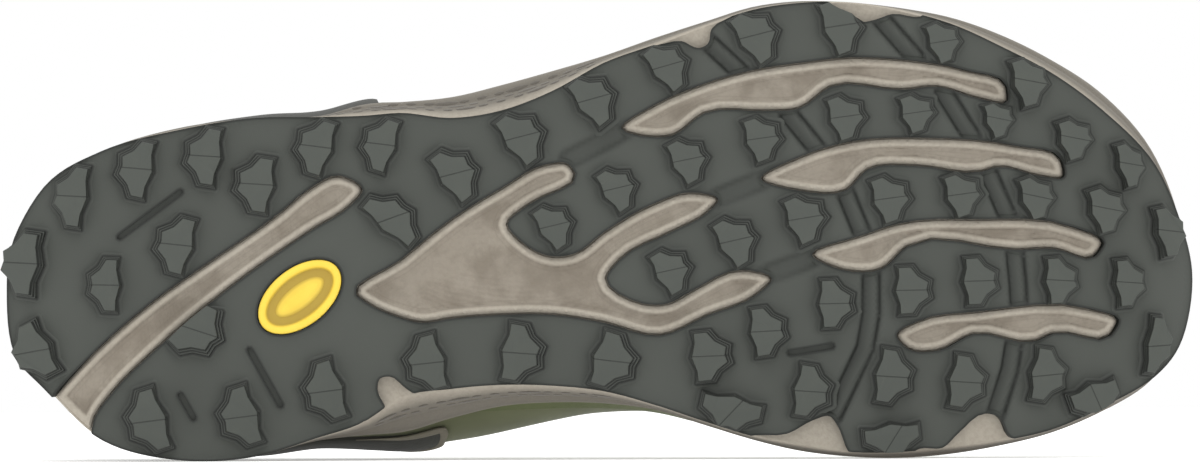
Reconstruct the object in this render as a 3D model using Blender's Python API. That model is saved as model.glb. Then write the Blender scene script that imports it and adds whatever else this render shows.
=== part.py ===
"""Trail running shoe for the right foot.

The shoe is modelled standing: X runs from heel to toe, +Y is the arch side, and Z is up from
the tops of the lugs. It is then laid down on its arch side, as it comes to rest on a floor.
"""

import math

import bmesh
import bpy
import numpy as np
from mathutils import Matrix, Vector
from mathutils.bvhtree import BVHTree

# Main sizes in metres
LENGTH = 0.300
BALL_WIDTH = 0.1157
HEEL_HEIGHT = 0.098
INSTEP_HEIGHT = 0.087
TONGUE_HEIGHT = 0.112

# Sole
LUG_HEIGHT = 0.004
LUG_LENGTH = 0.01358
LUG_WIDTH = 0.01006
RUBBER = 0.0022
HEEL_STACK = 0.027
BALL_STACK = 0.0205
RIM_HEIGHT = 0.0045
RIM_WIDTH = 0.0058
TOE_SPRING = 0.013
SPRING_START = 0.212
TOE_ROLL = 0.005
ROLL_LENGTH = 0.012
HEEL_BEVEL = 0.0065
BEVEL_LENGTH = 0.022
RIB_DEPTH = 0.0008
ISLAND_RECESS = 0.0008
SLOT_WIDTH = 0.0013
INLAY_LENGTH = 0.024
INLAY_WIDTH = 0.0145
INLAY_TURN = -38
INLAY_RISE = 0.0009
INSOLE = 0.0035

# Upper
WALL = 0.002
COLLAR_PAD = 0.0055
FEATHER_INSET = 0.0022
OVERLAY = 0.001
OVERLAY_GAP = 0.0008
COUNTER_DEPTH = 0.030
TRIM_WIDTH = 0.0022
MUDGUARD_DEPTH = 0.011
EYESTAY_WIDTH = 0.016
EYELET = 0.0048
EYELET_INSET = 0.0075
EYELET_PAIRS = 6
EYELET_PLACES = tuple(59.0 - 3.88 * k for k in range(EYELET_PAIRS))
TONGUE = 0.0045
TONGUE_TUCK = 0.014
TONGUE_BEND = 0.045
LACE_RADIUS = 0.0014
GAP = 0.0003

# Points along each side of the sole, and rows up the wall of the upper
HALF = 34
UPPER_ROWS = 10

# Places on the sole are in hundredths of LENGTH from the heel and of BALL_WIDTH from the axis.
# x, rubber edge at the outer and the arch side, foam edge at the outer and the arch side
SOLE = (
    (0.9, -4.1, 23.9, -5.2, 24.7),
    (3.0, -13.0, 29.6, -13.7, 30.2),
    (8.1, -21.5, 41.3, -22.0, 41.6),
    (14.6, -26.1, 45.7, -27.0, 45.9),
    (21.0, -28.7, 44.9, -28.9, 45.1),
    (26.1, -28.9, 40.9, -29.4, 41.9),
    (30.2, -29.2, 37.2, -32.1, 40.7),
    (33.1, -29.8, 32.2, -32.5, 40.1),
    (37.4, -28.7, 30.2, -33.6, 36.9),
    (41.7, -30.4, 29.3, -36.3, 34.3),
    (45.9, -34.6, 29.5, -39.3, 33.5),
    (50.2, -40.7, 30.7, -42.6, 33.7),
    (54.5, -44.7, 33.7, -46.5, 35.1),
    (58.8, -48.9, 37.4, -50.1, 38.5),
    (63.0, -52.4, 40.7, -53.4, 41.8),
    (66.6, -53.7, 42.4, -54.5, 44.0),
    (70.8, -53.9, 43.9, -54.2, 45.3),
    (75.6, -51.9, 43.8, -52.9, 45.6),
    (79.5, -49.0, 42.8, -51.0, 44.8),
    (83.7, -44.1, 41.5, -47.3, 43.0),
    (88.0, -38.3, 39.0, -41.9, 40.3),
    (92.3, -30.2, 34.1, -34.7, 35.8),
    (96.6, -18.9, 27.8, -22.6, 29.0),
    (99.0, -5.5, 20.0, -8.4, 20.0),
)
HEEL_TIP = (0.0, 9.0)
TOE_TIP = (100.0, 6.7)
FOAM_TOE_TIP = (99.7, 6.0)

# Rings of the midsole from the rubber up: share of the way out to the foam edge, inset, share
# of the way up to the rim. The pair at 0.30 and 0.42 is a rib's groove round the wall.
WALL_RINGS = (
    (0.00, 0.0003, 0.00),
    (0.40, 0.0, 0.16),
    (0.62, 0.0, 0.30),
    (0.70, RIB_DEPTH, 0.36),
    (0.80, 0.0, 0.42),
    (1.00, 0.0, 0.66),
    (1.00, 0.0005, 0.88),
    (1.00, 0.0018, 1.00),
    (1.00, RIM_WIDTH, 1.00),
)

# Openings of the tread that show the foam, as smooth closed lines
OPENINGS = (
    (
        (29.4, 9.7), (33.1, 2.2), (37.4, -6.7), (41.7, -13.6), (45.3, -18.6), (47.2, -18.7),
        (47.8, -16.6), (43.8, -9.7), (42.1, -5.5), (43.2, -2.0), (45.9, 1.4), (47.7, 0.8),
        (50.2, -3.9), (54.5, -10.2), (57.3, -12.5), (59.8, -10.9), (58.8, -8.0), (56.0, -4.1),
        (51.5, 2.2), (50.4, 6.1), (53.4, 11.6), (55.6, 11.6), (57.3, 9.3), (61.8, 4.3),
        (64.3, 6.3), (63.0, 9.7), (58.8, 14.3), (54.9, 18.6), (50.2, 15.8), (45.9, 14.1),
        (41.7, 14.1), (37.4, 14.9), (34.8, 15.8), (33.1, 14.7), (30.3, 11.5),
    ),
    (
        (51.6, -26.6), (54.5, -31.6), (58.8, -36.3), (63.0, -39.3), (66.6, -40.7), (70.9, -41.9),
        (75.2, -41.4), (80.6, -39.1), (84.0, -35.8), (84.1, -32.4), (81.6, -33.0), (78.2, -35.5),
        (75.2, -34.8), (69.2, -35.5), (66.6, -30.8), (64.1, -30.2), (58.6, -29.7), (55.9, -24.8),
    ),
    (
        (63.3, -15.5), (66.6, -20.2), (70.9, -23.6), (77.3, -24.4), (84.8, -22.7), (88.7, -19.7),
        (88.9, -15.9), (86.9, -16.1), (83.1, -18.0), (82.0, -17.1), (76.3, -18.3), (72.3, -17.5),
        (70.5, -13.0), (66.6, -12.9),
    ),
    (
        (67.6, 1.1), (72.0, -3.3), (74.8, -5.7), (81.6, -6.7), (89.7, -5.0), (92.3, -1.5),
        (91.5, 1.5), (88.0, -0.3), (85.0, 0.0), (75.6, -0.7), (73.5, 4.1), (70.3, 4.4),
    ),
    (
        (74.7, 18.5), (76.5, 15.5), (81.6, 13.4), (91.2, 12.9), (93.6, 15.4), (92.9, 18.7),
        (88.0, 18.2), (86.5, 19.9), (81.2, 18.3), (78.2, 21.9), (75.7, 21.5),
    ),
)

# The groove across the heel, which runs out over the edge of the tread
HEEL_GROOVE = (
    (30.0, -13.0), (28.0, -16.2), (25.2, -12.8), (23.1, -8.3), (16.7, 3.3), (12.4, 11.1),
    (6.0, 26.1), (3.8, 32.6), (2.2, 42.0), (6.8, 46.0), (7.5, 36.5), (9.2, 30.4),
    (12.4, 22.2), (18.8, 8.3), (25.6, -4.1), (29.1, -10.0),
)

# Notches in the edge of the tread, each closed beyond the edge
NOTCHES = (
    (
        (29.5, 38.3), (31.9, 34.9), (31.2, 30.4), (31.4, 28.0), (32.2, 27.5), (33.7, 30.3),
        (34.9, 32.0), (36.8, 31.4), (37.2, 38.0), (33.0, 43.5), (29.0, 43.5),
    ),
    (
        (62.0, 40.9), (65.6, 39.9), (67.9, 36.8), (69.1, 36.1), (69.8, 38.3), (70.5, 42.9),
        (72.0, 50.0), (66.0, 53.0), (60.0, 50.0),
    ),
    (
        (76.5, 43.3), (78.6, 43.0), (79.9, 39.9), (82.2, 35.6), (83.2, 36.1), (84.2, 40.6),
        (86.5, 43.0), (86.0, 50.0), (80.0, 52.0), (75.5, 50.0),
    ),
    (
        (54.0, -44.6), (56.7, -45.4), (58.2, -43.9), (58.9, -44.8), (59.2, -48.0), (61.3, -51.8),
        (61.0, -60.0), (56.0, -60.0), (52.0, -50.0),
    ),
    (
        (69.2, -53.4), (71.1, -51.1), (71.8, -49.6), (72.7, -49.9), (74.4, -51.3), (76.8, -50.8),
        (78.0, -58.0), (73.0, -62.0), (68.0, -58.7),
    ),
)

# Narrow slots: both ends
SLOTS = (
    (9.6, -2.8, 14.7, -12.6),
    (14.7, 31.5, 15.8, 36.5),
    (20.5, 21.7, 23.1, 33.7),
    (65.8, 22.4, 69.3, 20.9),
)
INLAY_PLACE = (24.7, 10.2)

# Lugs: x, y, turn of the long axis from the arch side toward the toe in degrees, length and
# width as shares of LUG_LENGTH and LUG_WIDTH, and the way that the pair of points looks
TOE, HEEL = 1, -1
LUGS = (
    (5.7, -11.7, -9, 1.22, 0.90, HEEL),
    (11.0, -17.7, -12, 1.15, 1.00, HEEL),
    (16.7, -20.4, -9, 1.15, 1.02, HEEL),
    (21.0, -14.3, -9, 1.11, 1.10, HEEL),
    (26.0, -22.5, -18, 1.11, 1.02, HEEL),
    (31.4, -23.0, -18, 1.07, 0.95, HEEL),
    (32.6, -7.1, 50, 1.25, 0.95, TOE),
    (14.3, -1.2, -15, 1.15, 1.05, HEEL),
    (1.6, 2.8, -8, 1.26, 1.10, HEEL),
    (8.4, 7.6, -2, 1.06, 0.90, HEEL),
    (2.6, 22.2, 28, 1.11, 1.10, HEEL),
    (12.0, 37.2, 18, 1.26, 1.10, HEEL),
    (19.7, 36.3, 18, 1.19, 1.10, HEEL),
    (26.8, 30.7, 18, 1.19, 1.10, HEEL),
    (35.3, 24.6, 15, 1.11, 1.10, HEEL),
    (16.3, 17.6, -45, 1.15, 1.20, TOE),
    (37.9, -16.7, 37, 1.11, 1.05, TOE),
    (43.4, -24.7, 37, 1.09, 1.10, TOE),
    (49.4, -32.9, 39, 1.06, 1.05, TOE),
    (55.6, -40.1, 40, 1.00, 1.00, TOE),
    (63.0, -46.7, 36, 1.09, 1.10, TOE),
    (70.1, -48.7, 22, 1.11, 1.05, TOE),
    (78.6, -45.3, 23, 0.81, 0.90, TOE),
    (85.8, -36.7, 17, 0.96, 1.00, TOE),
    (46.1, -5.4, 34, 0.91, 0.95, TOE),
    (51.4, -13.5, 34, 0.89, 0.95, TOE),
    (57.3, -19.7, 29, 0.91, 1.00, TOE),
    (63.5, -24.3, 20, 0.89, 1.00, TOE),
    (70.5, -29.0, 20, 0.89, 1.00, TOE),
    (76.4, -29.9, 20, 0.76, 0.95, TOE),
    (83.2, -28.5, 19, 0.70, 0.80, TOE),
    (89.6, -24.3, 18, 0.81, 0.95, TOE),
    (94.3, -18.7, 16, 0.89, 0.75, TOE),
    (55.9, 4.3, 31, 0.91, 1.00, TOE),
    (61.3, -2.2, 32, 1.00, 1.05, TOE),
    (67.1, -7.0, 24, 0.96, 1.10, TOE),
    (74.2, -11.3, 20, 0.93, 1.05, TOE),
    (80.2, -12.2, 20, 0.87, 1.00, TOE),
    (86.4, -11.6, 20, 0.87, 0.95, TOE),
    (92.3, -9.0, 18, 0.91, 1.00, TOE),
    (97.5, -4.1, 12, 1.00, 0.75, TOE),
    (63.9, 17.6, 8, 0.98, 1.02, TOE),
    (69.6, 11.6, 3, 0.97, 1.00, TOE),
    (76.0, 8.7, 3, 0.96, 1.02, TOE),
    (81.6, 6.7, 4, 0.96, 1.00, TOE),
    (88.4, 6.6, 5, 0.94, 0.95, TOE),
    (94.2, 7.1, 6, 0.95, 0.88, TOE),
    (43.3, 22.4, -10, 1.15, 1.15, TOE),
    (51.0, 24.1, -17, 1.11, 1.20, TOE),
    (59.1, 23.0, 6, 1.00, 1.10, TOE),
    (67.6, 30.7, -9, 1.04, 1.05, TOE),
    (74.4, 27.5, -9, 1.09, 1.05, TOE),
    (80.5, 28.7, -9, 1.06, 1.05, TOE),
    (87.3, 27.2, -9, 1.06, 1.02, TOE),
    (96.6, 20.9, -8, 1.15, 0.65, TOE),
    (60.8, 35.4, 77, 1.22, 1.00, HEEL),
    (74.3, 41.3, 97, 1.11, 0.95, HEEL),
    (91.4, 33.0, 110, 1.00, 1.10, HEEL),
)
# Half of a lug's outline at its foot and at its top, as shares of its half length and half
# width, from the arch side's end round to the single point: foot u, foot v, top u, top v
LUG_SHAPE = (
    (0.00, 0.95, 0.00, 0.57),
    (0.36, 1.05, 0.26, 0.66),
    (0.65, 0.46, 0.50, 0.20),
    (1.00, 0.16, 0.85, -0.13),
    (1.00, -0.80, 0.85, -0.62),
    (0.52, -0.70, 0.52, -0.64),
    (0.00, -0.95, 0.00, -0.82),
)

# The upper, one row for each line from the foot of the wall up to the opening. The foot and
# opening places are in hundredths of LENGTH and BALL_WIDTH, the opening's height is a share of
# the height named after it. The last four are the line's handles as shares of BALL_WIDTH: how
# far it leans out and rises at its foot, how far it reaches and drops out of the opening.
HEEL_LINE = (0.0, 3.8, 8.6, 1.00, HEEL_HEIGHT, 0.055, 0.19, 0.01, 0.19)
OUTER_LINES = (
    (4.0, 6.2, -5.5, 0.99, HEEL_HEIGHT, 0.045, 0.19, 0.015, 0.19),
    (12.0, 12.5, -15.0, 0.91, HEEL_HEIGHT, 0.040, 0.19, 0.035, 0.18),
    (23.5, 21.5, -19.0, 0.795, HEEL_HEIGHT, 0.065, 0.18, 0.07, 0.14),
    (31.5, 30.0, -18.0, 0.815, HEEL_HEIGHT, 0.075, 0.18, 0.08, 0.13),
    (40.0, 38.5, -15.0, 1.00, INSTEP_HEIGHT, 0.055, 0.18, 0.11, 0.14),
    (52.0, 50.0, -12.5, 0.87, INSTEP_HEIGHT, 0.02, 0.15, 0.17, 0.08),
    (67.0, 60.0, -9.0, 0.755, INSTEP_HEIGHT, 0.0, 0.13, 0.25, 0.05),
    (81.0, 63.0, -5.5, 0.73, INSTEP_HEIGHT, 0.0, 0.13, 0.35, 0.05),
    (93.0, 64.2, -2.6, 0.72, INSTEP_HEIGHT, 0.0, 0.14, 0.44, 0.045),
)
TOE_LINE = (100.0, 64.6, 0.6, 0.718, INSTEP_HEIGHT, 0.015, 0.14, 0.50, 0.05)
ARCH_LINES = (
    (4.0, 6.2, 22.5, 0.99, HEEL_HEIGHT, 0.045, 0.19, 0.015, 0.19),
    (12.0, 12.5, 32.0, 0.91, HEEL_HEIGHT, 0.036, 0.19, 0.032, 0.18),
    (23.5, 21.5, 34.2, 0.81, HEEL_HEIGHT, 0.066, 0.18, 0.07, 0.14),
    (31.5, 30.0, 29.5, 0.825, HEEL_HEIGHT, 0.120, 0.18, 0.12, 0.13),
    (40.0, 38.5, 22.5, 1.00, INSTEP_HEIGHT, 0.180, 0.18, 0.14, 0.14),
    (50.0, 50.0, 16.5, 0.87, INSTEP_HEIGHT, 0.105, 0.17, 0.17, 0.09),
    (67.0, 60.0, 11.0, 0.755, INSTEP_HEIGHT, 0.01, 0.15, 0.24, 0.02),
    (81.0, 63.0, 7.0, 0.73, INSTEP_HEIGHT, 0.0, 0.14, 0.35, 0.04),
    (93.0, 64.2, 3.8, 0.72, INSTEP_HEIGHT, 0.0, 0.14, 0.44, 0.045),
)

# The tongue above the eyelets: x, height as a share of TONGUE_HEIGHT, half width and drop of
# its edges as shares of BALL_WIDTH
TONGUE_TOP = (
    (37.2, 0.85, 0.140, 0.035),
    (35.6, 0.92, 0.195, 0.055),
    (34.0, 0.97, 0.215, 0.065),
    (33.4, 1.00, 0.180, 0.050),
)

# Weight per volume, for the side that the shoe rests on
FOAM_DENSITY = 180
RUBBER_DENSITY = 1100
CLOTH_DENSITY = 500

# Colours and finish of each piece: red, green, blue, roughness
FINISH = {
    "outsole": (0.095, 0.100, 0.089, 0.75),
    "midsole": (0.33, 0.30, 0.25, 0.85),
    "insole": (0.05, 0.05, 0.05, 0.95),
    "upper": (0.13, 0.14, 0.09, 0.9),
    "tongue": (0.10, 0.11, 0.07, 0.9),
    "eyestay": (0.14, 0.14, 0.09, 0.6),
    "heel_counter": (0.04, 0.04, 0.036, 0.6),
    "counter_trim": (0.20, 0.18, 0.145, 0.7),
    "mudguard": (0.136, 0.14, 0.088, 0.55),
    "lace": (0.05, 0.05, 0.045, 0.9),
    "tread_inlay": (0.86, 0.62, 0.07, 0.5),
}


def hermite(knots, rows, at):
    """A smooth line through the rows, whose slope at a row is that of its neighbours."""
    knots = np.asarray(knots, float)
    rows = np.asarray(rows, float)
    slopes = np.gradient(rows, knots, axis=0)
    low = np.clip(np.searchsorted(knots, at, side="right") - 1, 0, len(knots) - 2)
    span = (knots[low + 1] - knots[low])[:, None]
    u = (at - knots[low])[:, None] / span
    start = (2 * u**3 - 3 * u**2 + 1) * rows[low] + (u**3 - 2 * u**2 + u) * span * slopes[low]
    end = (3 * u**2 - 2 * u**3) * rows[low + 1] + (u**3 - u**2) * span * slopes[low + 1]
    return start + end


def hermite_loop(knots, total, rows, at):
    """The same, round a closed loop."""
    knots = np.asarray(knots, float)
    rows = np.asarray(rows, float)
    round_knots = np.concatenate([knots[-3:] - total, knots, knots[:3] + total])
    round_rows = np.concatenate([rows[-3:], rows, rows[:3]])
    return hermite(round_knots, round_rows, np.asarray(at) % total)


def placed(x, y):
    return x / 100 * LENGTH, y / 100 * BALL_WIDTH


def smooth_polygon(points, per_side=1):
    """A closed smooth line through places on the sole."""
    corners = np.array([placed(x, y) for x, y in points])
    sides = np.linalg.norm(np.roll(corners, -1, axis=0) - corners, axis=1)
    knots = np.concatenate([[0], np.cumsum(sides)])
    at = np.concatenate([k + s * np.arange(per_side) / per_side for k, s in zip(knots, sides)])
    return hermite_loop(knots[:-1], knots[-1], corners, at)


def grown(points, distance):
    """A closed flat loop with each of its sides moved outward."""
    side = np.roll(points, -1, axis=0) - points
    normal = np.stack([side[:, 1], -side[:, 0]], axis=1)
    normal /= np.maximum(np.linalg.norm(normal, axis=1), 1e-9)[:, None]
    x, y = points[:, 0], points[:, 1]
    area = np.sum(x * np.roll(y, -1) - y * np.roll(x, -1))
    between = normal + np.roll(normal, 1, axis=0)
    between /= np.maximum(np.linalg.norm(between, axis=1), 1e-9)[:, None]
    stretch = np.maximum(np.sum(between * normal, axis=1), 0.35)[:, None]
    return points + between / stretch * math.copysign(distance, area * distance)


class Outline:
    """Both edges of the sole, under one measure that runs round from the heel and back."""

    def __init__(self):
        table = np.array(SOLE)
        x = table[:, 0] / 100 * LENGTH
        edges = table[:, 1:] / 100 * BALL_WIDTH
        heel = np.array(placed(*HEEL_TIP))
        toe = np.array(placed(*TOE_TIP))
        foam_toe = np.array(placed(*FOAM_TOE_TIP))
        self.rubber_rows = self.loop_rows(x, edges[:, 0], edges[:, 1], heel, toe)
        self.foam_rows = self.loop_rows(x, edges[:, 2], edges[:, 3], heel, foam_toe)
        count = len(x)
        steps = np.linalg.norm(np.diff(self.foam_rows, axis=0), axis=1)
        last = np.linalg.norm(self.foam_rows[0] - self.foam_rows[-1])
        around = np.concatenate([steps, [last]])
        pairs = (around[: count + 1] + around[count + 1 :][::-1]) / 2
        half = np.concatenate([[0], np.cumsum(pairs)])
        self.half_length = half[-1]
        self.total = 2 * self.half_length
        self.knots = np.concatenate([half, self.total - half[1:-1][::-1]])
        self.x_rows = np.concatenate([[heel[0]], x, [foam_toe[0]]])
        self.half_knots = half

    @staticmethod
    def loop_rows(x, outer, arch, heel, toe):
        outer_side = np.stack([x, outer], axis=1)
        arch_side = np.stack([x, arch], axis=1)
        return np.concatenate([[heel], outer_side, [toe], arch_side[::-1]])

    def rubber(self, at):
        return hermite_loop(self.knots, self.total, self.rubber_rows, at)

    def foam(self, at):
        return hermite_loop(self.knots, self.total, self.foam_rows, at)

    def measure(self, x_share, arch_side):
        """The measure at a share of the length, on one side."""
        along = np.interp(x_share / 100 * LENGTH, self.x_rows, self.half_knots)
        return self.total - along if arch_side else along


OUTLINE = Outline()
AROUND = OUTLINE.total * np.arange(2 * HALF) / (2 * HALF)


def rocker(x):
    """Height of the lugs' tops above the ground, and its slope."""
    spring = np.clip((x - SPRING_START) / (LENGTH - SPRING_START), 0, None)
    roll = np.clip((x - LENGTH + ROLL_LENGTH) / ROLL_LENGTH, 0, None)
    bevel = np.clip((BEVEL_LENGTH - x) / BEVEL_LENGTH, 0, None)
    height = TOE_SPRING * spring**2 + TOE_ROLL * roll**2 + HEEL_BEVEL * bevel**2
    slope = 2 * TOE_SPRING * spring / (LENGTH - SPRING_START)
    slope += 2 * TOE_ROLL * roll / ROLL_LENGTH
    slope -= 2 * HEEL_BEVEL * bevel / BEVEL_LENGTH
    return height, slope


def bent(flat):
    """Points of the flat tread, with Z above the lugs' tops, taken round the rocker of the sole."""
    flat = np.asarray(flat, float)
    height, slope = rocker(flat[:, 0])
    length = np.sqrt(1 + slope**2)
    above = flat[:, 2] - LUG_HEIGHT
    x = flat[:, 0] - above * slope / length
    z = height + LUG_HEIGHT + above / length
    return np.stack([x, flat[:, 1], z], axis=1)


def footbed(x):
    """Height of the foam under the insole."""
    share = np.clip((x / LENGTH - 0.22) / 0.46, 0, 1)
    ease = share * share * (3 - 2 * share)
    spring = np.clip((x - SPRING_START) / (LENGTH - SPRING_START), 0, None)
    return HEEL_STACK + (BALL_STACK - HEEL_STACK) * ease + 0.75 * TOE_SPRING * spring**2


def foot_of_upper(at):
    """Where the upper's outer face meets the rim of the midsole."""
    edge = OUTLINE.foam(at)
    step = OUTLINE.total / 400
    along = OUTLINE.foam(at + step) - OUTLINE.foam(at - step)
    normal = np.stack([along[:, 1], -along[:, 0]], axis=1)
    normal /= np.linalg.norm(normal, axis=1)[:, None]
    place = edge - normal * FEATHER_INSET
    height = footbed(place[:, 0]) + RIM_HEIGHT + GAP
    return np.concatenate([place, height[:, None]], axis=1), normal


def upper_rows():
    """The upper's table as closed rows: measure, opening point and handles, all in metres."""
    lines = [(0.0, HEEL_LINE)]
    lines += [(OUTLINE.measure(row[0], False), row) for row in OUTER_LINES]
    lines += [(OUTLINE.half_length, TOE_LINE)]
    lines += [(OUTLINE.measure(row[0], True), row) for row in reversed(ARCH_LINES)]
    knots = [at for at, _ in lines]
    rows = []
    for _, (_, x, y, share, height, lean, rise, reach, drop) in lines:
        handles = [value * BALL_WIDTH for value in (lean, rise, reach, drop)]
        rows.append([*placed(x, y), share * height, *handles])
    return knots, rows


UPPER_KNOTS, UPPER_TABLE = upper_rows()


def upper_point(at, share):
    """The upper's outer face: share 0 at its foot, 1 at the opening."""
    at = np.asarray(at, float)
    share = np.broadcast_to(np.asarray(share, float), at.shape)[:, None]
    foot, normal = foot_of_upper(at)
    rows = hermite_loop(UPPER_KNOTS, OUTLINE.total, UPPER_TABLE, at)
    opening, lean, rise, reach, drop = np.split(rows, (3, 4, 5, 6), axis=1)
    side = foot[:, :2] - opening[:, :2]
    side /= np.linalg.norm(side, axis=1)[:, None]
    low = foot + np.concatenate([normal * lean, rise], axis=1)
    high = opening + np.concatenate([side * reach, -drop], axis=1)
    rest = 1 - share
    return rest**3 * foot + 3 * rest**2 * share * low + 3 * rest * share**2 * high + share**3 * opening


def upper_frame(at, share):
    """The outer face with its outward normal and its direction toward the opening."""
    at = np.asarray(at, float)
    share = np.broadcast_to(np.asarray(share, float), at.shape)
    step = OUTLINE.total / 600
    around = upper_point(at + step, share) - upper_point(at - step, share)
    low = np.clip(share - 0.01, 0, 1)
    high = np.clip(share + 0.01, 0, 1)
    up = upper_point(at, high) - upper_point(at, low)
    up /= np.linalg.norm(up, axis=1)[:, None]
    normal = np.cross(around, up)
    normal /= np.linalg.norm(normal, axis=1)[:, None]
    return upper_point(at, share), normal, up


def upper_length(at):
    """Length of the line from the foot to the opening."""
    shares = np.linspace(0, 1, 21)
    line = np.array([upper_point(at, share) for share in shares])
    return np.sum(np.linalg.norm(np.diff(line, axis=0), axis=2), axis=0)


def wall_thickness(at, share):
    """The wall of the upper, with the pad round the collar."""
    x = upper_point(at, 1.0)[:, 0] / LENGTH
    collar = np.clip((0.37 - x) / 0.10, 0, 1)
    pad = np.clip((share - 0.5) / 0.3, 0, 1)
    ease = pad * pad * (3 - 2 * pad)
    return WALL + (COLLAR_PAD - WALL) * collar * ease


def mesh_object(name, mesh_builder):
    """A closed mesh object, its faces turned outward."""
    shape = bmesh.new()
    mesh_builder(shape)
    bmesh.ops.recalc_face_normals(shape, faces=shape.faces)
    mesh = bpy.data.meshes.new(name)
    shape.to_mesh(mesh)
    shape.free()
    return bpy.data.objects.new(name, mesh)


def loft(shape, rings, closed_around=True):
    """Faces between rows of points. Gives the rows of vertices."""
    rows = [[shape.verts.new(point) for point in ring] for ring in rings]
    for row, following in zip(rows, rows[1:]):
        count = len(row)
        for i in range(count if closed_around else count - 1):
            j = (i + 1) % count
            shape.faces.new((row[i], row[j], following[j], following[i]))
    return rows


def ladder(shape, row):
    """A cap across a ring of the sole, in strips from side to side."""
    count = len(row)
    for i in range(count // 2):
        corners = [row[i], row[i + 1], row[(count - i - 1) % count], row[(count - i) % count]]
        shape.faces.new(list(dict.fromkeys(corners)))


def add_modifier(target, cutter, operation):
    """Cuts the target by the cutter, or joins or overlaps it, for good."""
    for made in (target, cutter):
        if made.name not in WORK.objects:
            WORK.objects.link(made)
    change = target.modifiers.new(operation, "BOOLEAN")
    change.operation = operation
    change.object = cutter
    bpy.context.view_layer.update()
    result = target.evaluated_get(bpy.context.evaluated_depsgraph_get())
    mesh = bpy.data.meshes.new_from_object(result)
    target.modifiers.clear()
    target.data = mesh
    bpy.data.objects.remove(cutter)


def prism(name, loops, low, high):
    """A flat outline with its holes, as a solid between two heights."""
    curve = bpy.data.curves.new(name, "CURVE")
    curve.dimensions = "2D"
    curve.fill_mode = "BOTH"
    curve.extrude = (high - low) / 2
    for points in loops:
        spline = curve.splines.new("POLY")
        spline.points.add(len(points) - 1)
        for corner, (x, y) in zip(spline.points, points):
            corner.co = (x, y, 0, 1)
        spline.use_cyclic_u = True
    flat = bpy.data.objects.new(name, curve)
    WORK.objects.link(flat)
    flat.location.z = (high + low) / 2
    bpy.context.view_layer.update()
    mesh = bpy.data.meshes.new_from_object(flat.evaluated_get(bpy.context.evaluated_depsgraph_get()))
    mesh.transform(flat.matrix_world)
    bpy.data.objects.remove(flat)
    shape = bmesh.new()
    shape.from_mesh(mesh)
    bmesh.ops.remove_doubles(shape, verts=shape.verts, dist=1e-7)
    bmesh.ops.recalc_face_normals(shape, faces=shape.faces)
    shape.to_mesh(mesh)
    shape.free()
    return bpy.data.objects.new(name, mesh)


def ellipse(x, y, length, width, turn, count=28):
    turn = math.radians(turn)
    points = []
    for i in range(count):
        angle = 2 * math.pi * i / count
        u, v = length / 2 * math.cos(angle), width / 2 * math.sin(angle)
        points.append((x + u * math.cos(turn) - v * math.sin(turn), y + u * math.sin(turn) + v * math.cos(turn)))
    return np.array(points)


def slot(x0, y0, x1, y1):
    """A narrow opening with rounded ends."""
    start, end = np.array(placed(x0, y0)), np.array(placed(x1, y1))
    along = (end - start) / np.linalg.norm(end - start)
    across = np.array((-along[1], along[0]))
    points = []
    for middle, way in ((end, 1), (start, -1)):
        for angle in (-90, -30, 30, 90):
            turn = math.radians(angle)
            offset = (along * math.cos(turn) + across * math.sin(turn)) * way
            points.append(middle + offset * SLOT_WIDTH / 2)
    return np.array(points)


def tread_prism(name, grow, low, high):
    """The rubber's plate with every opening, its edges drawn back by a distance."""
    edge = grown(OUTLINE.rubber(AROUND), -grow)
    holes = [grown(smooth_polygon(points), grow) for points in OPENINGS]
    holes += [grown(slot(*ends), grow) for ends in SLOTS]
    x, y = placed(*INLAY_PLACE)
    holes.append(ellipse(x, y, INLAY_LENGTH + 2 * (grow + GAP), INLAY_WIDTH + 2 * (grow + GAP), INLAY_TURN))
    plate = prism(name, [edge, *holes], low, high)
    for points in (HEEL_GROOVE, *NOTCHES):
        cut = prism("notch", [grown(smooth_polygon(points), grow)], low - 0.001, high + 0.001)
        add_modifier(plate, cut, "DIFFERENCE")
    return plate


def lug_rings(x, y, turn, long, wide, way):
    """The foot and the top of one lug, flat."""
    x, y = placed(x, y)
    turn = math.radians(turn)
    along = np.array((math.sin(turn), math.cos(turn))) * long * LUG_LENGTH / 2
    across = np.array((math.cos(turn), -math.sin(turn))) * way * wide * LUG_WIDTH / 2
    half = np.array(LUG_SHAPE)
    whole = np.concatenate([half, half[1:-1][::-1] * (-1, 1, -1, 1)])
    place = np.array((x, y))
    foot = place + whole[:, :1] * along + whole[:, 1:2] * across
    top = place + whole[:, 2:3] * along + whole[:, 3:] * across
    inside = np.full((len(whole), 1), LUG_HEIGHT + RUBBER / 3)
    return np.concatenate([foot, inside], axis=1), np.concatenate([top, inside * 0], axis=1)


def bend_object(target):
    """Takes a flat tread piece round the rocker, with cuts where the sole curves."""
    shape = bmesh.new()
    shape.from_mesh(target.data)
    bmesh.ops.dissolve_limit(shape, angle_limit=0.002, verts=shape.verts, edges=shape.edges)
    cuts = [BEVEL_LENGTH * share for share in (0.2, 0.5, 0.8)]
    cuts += list(np.linspace(SPRING_START + 0.008, LENGTH - ROLL_LENGTH, 6))
    cuts += [LENGTH - ROLL_LENGTH * share for share in (0.6, 0.25)]
    for x in cuts:
        geometry = shape.verts[:] + shape.edges[:] + shape.faces[:]
        bmesh.ops.bisect_plane(shape, geom=geometry, dist=2e-5, plane_co=(x, 0, 0), plane_no=(1, 0, 0))
    bmesh.ops.triangulate(shape, faces=shape.faces)
    bmesh.ops.remove_doubles(shape, verts=shape.verts, dist=2e-5)
    bmesh.ops.dissolve_degenerate(shape, edges=shape.edges, dist=2e-6)
    points = bent([vertex.co for vertex in shape.verts])
    for vertex, point in zip(shape.verts, points):
        vertex.co = point
    shape.to_mesh(target.data)
    shape.free()


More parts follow.
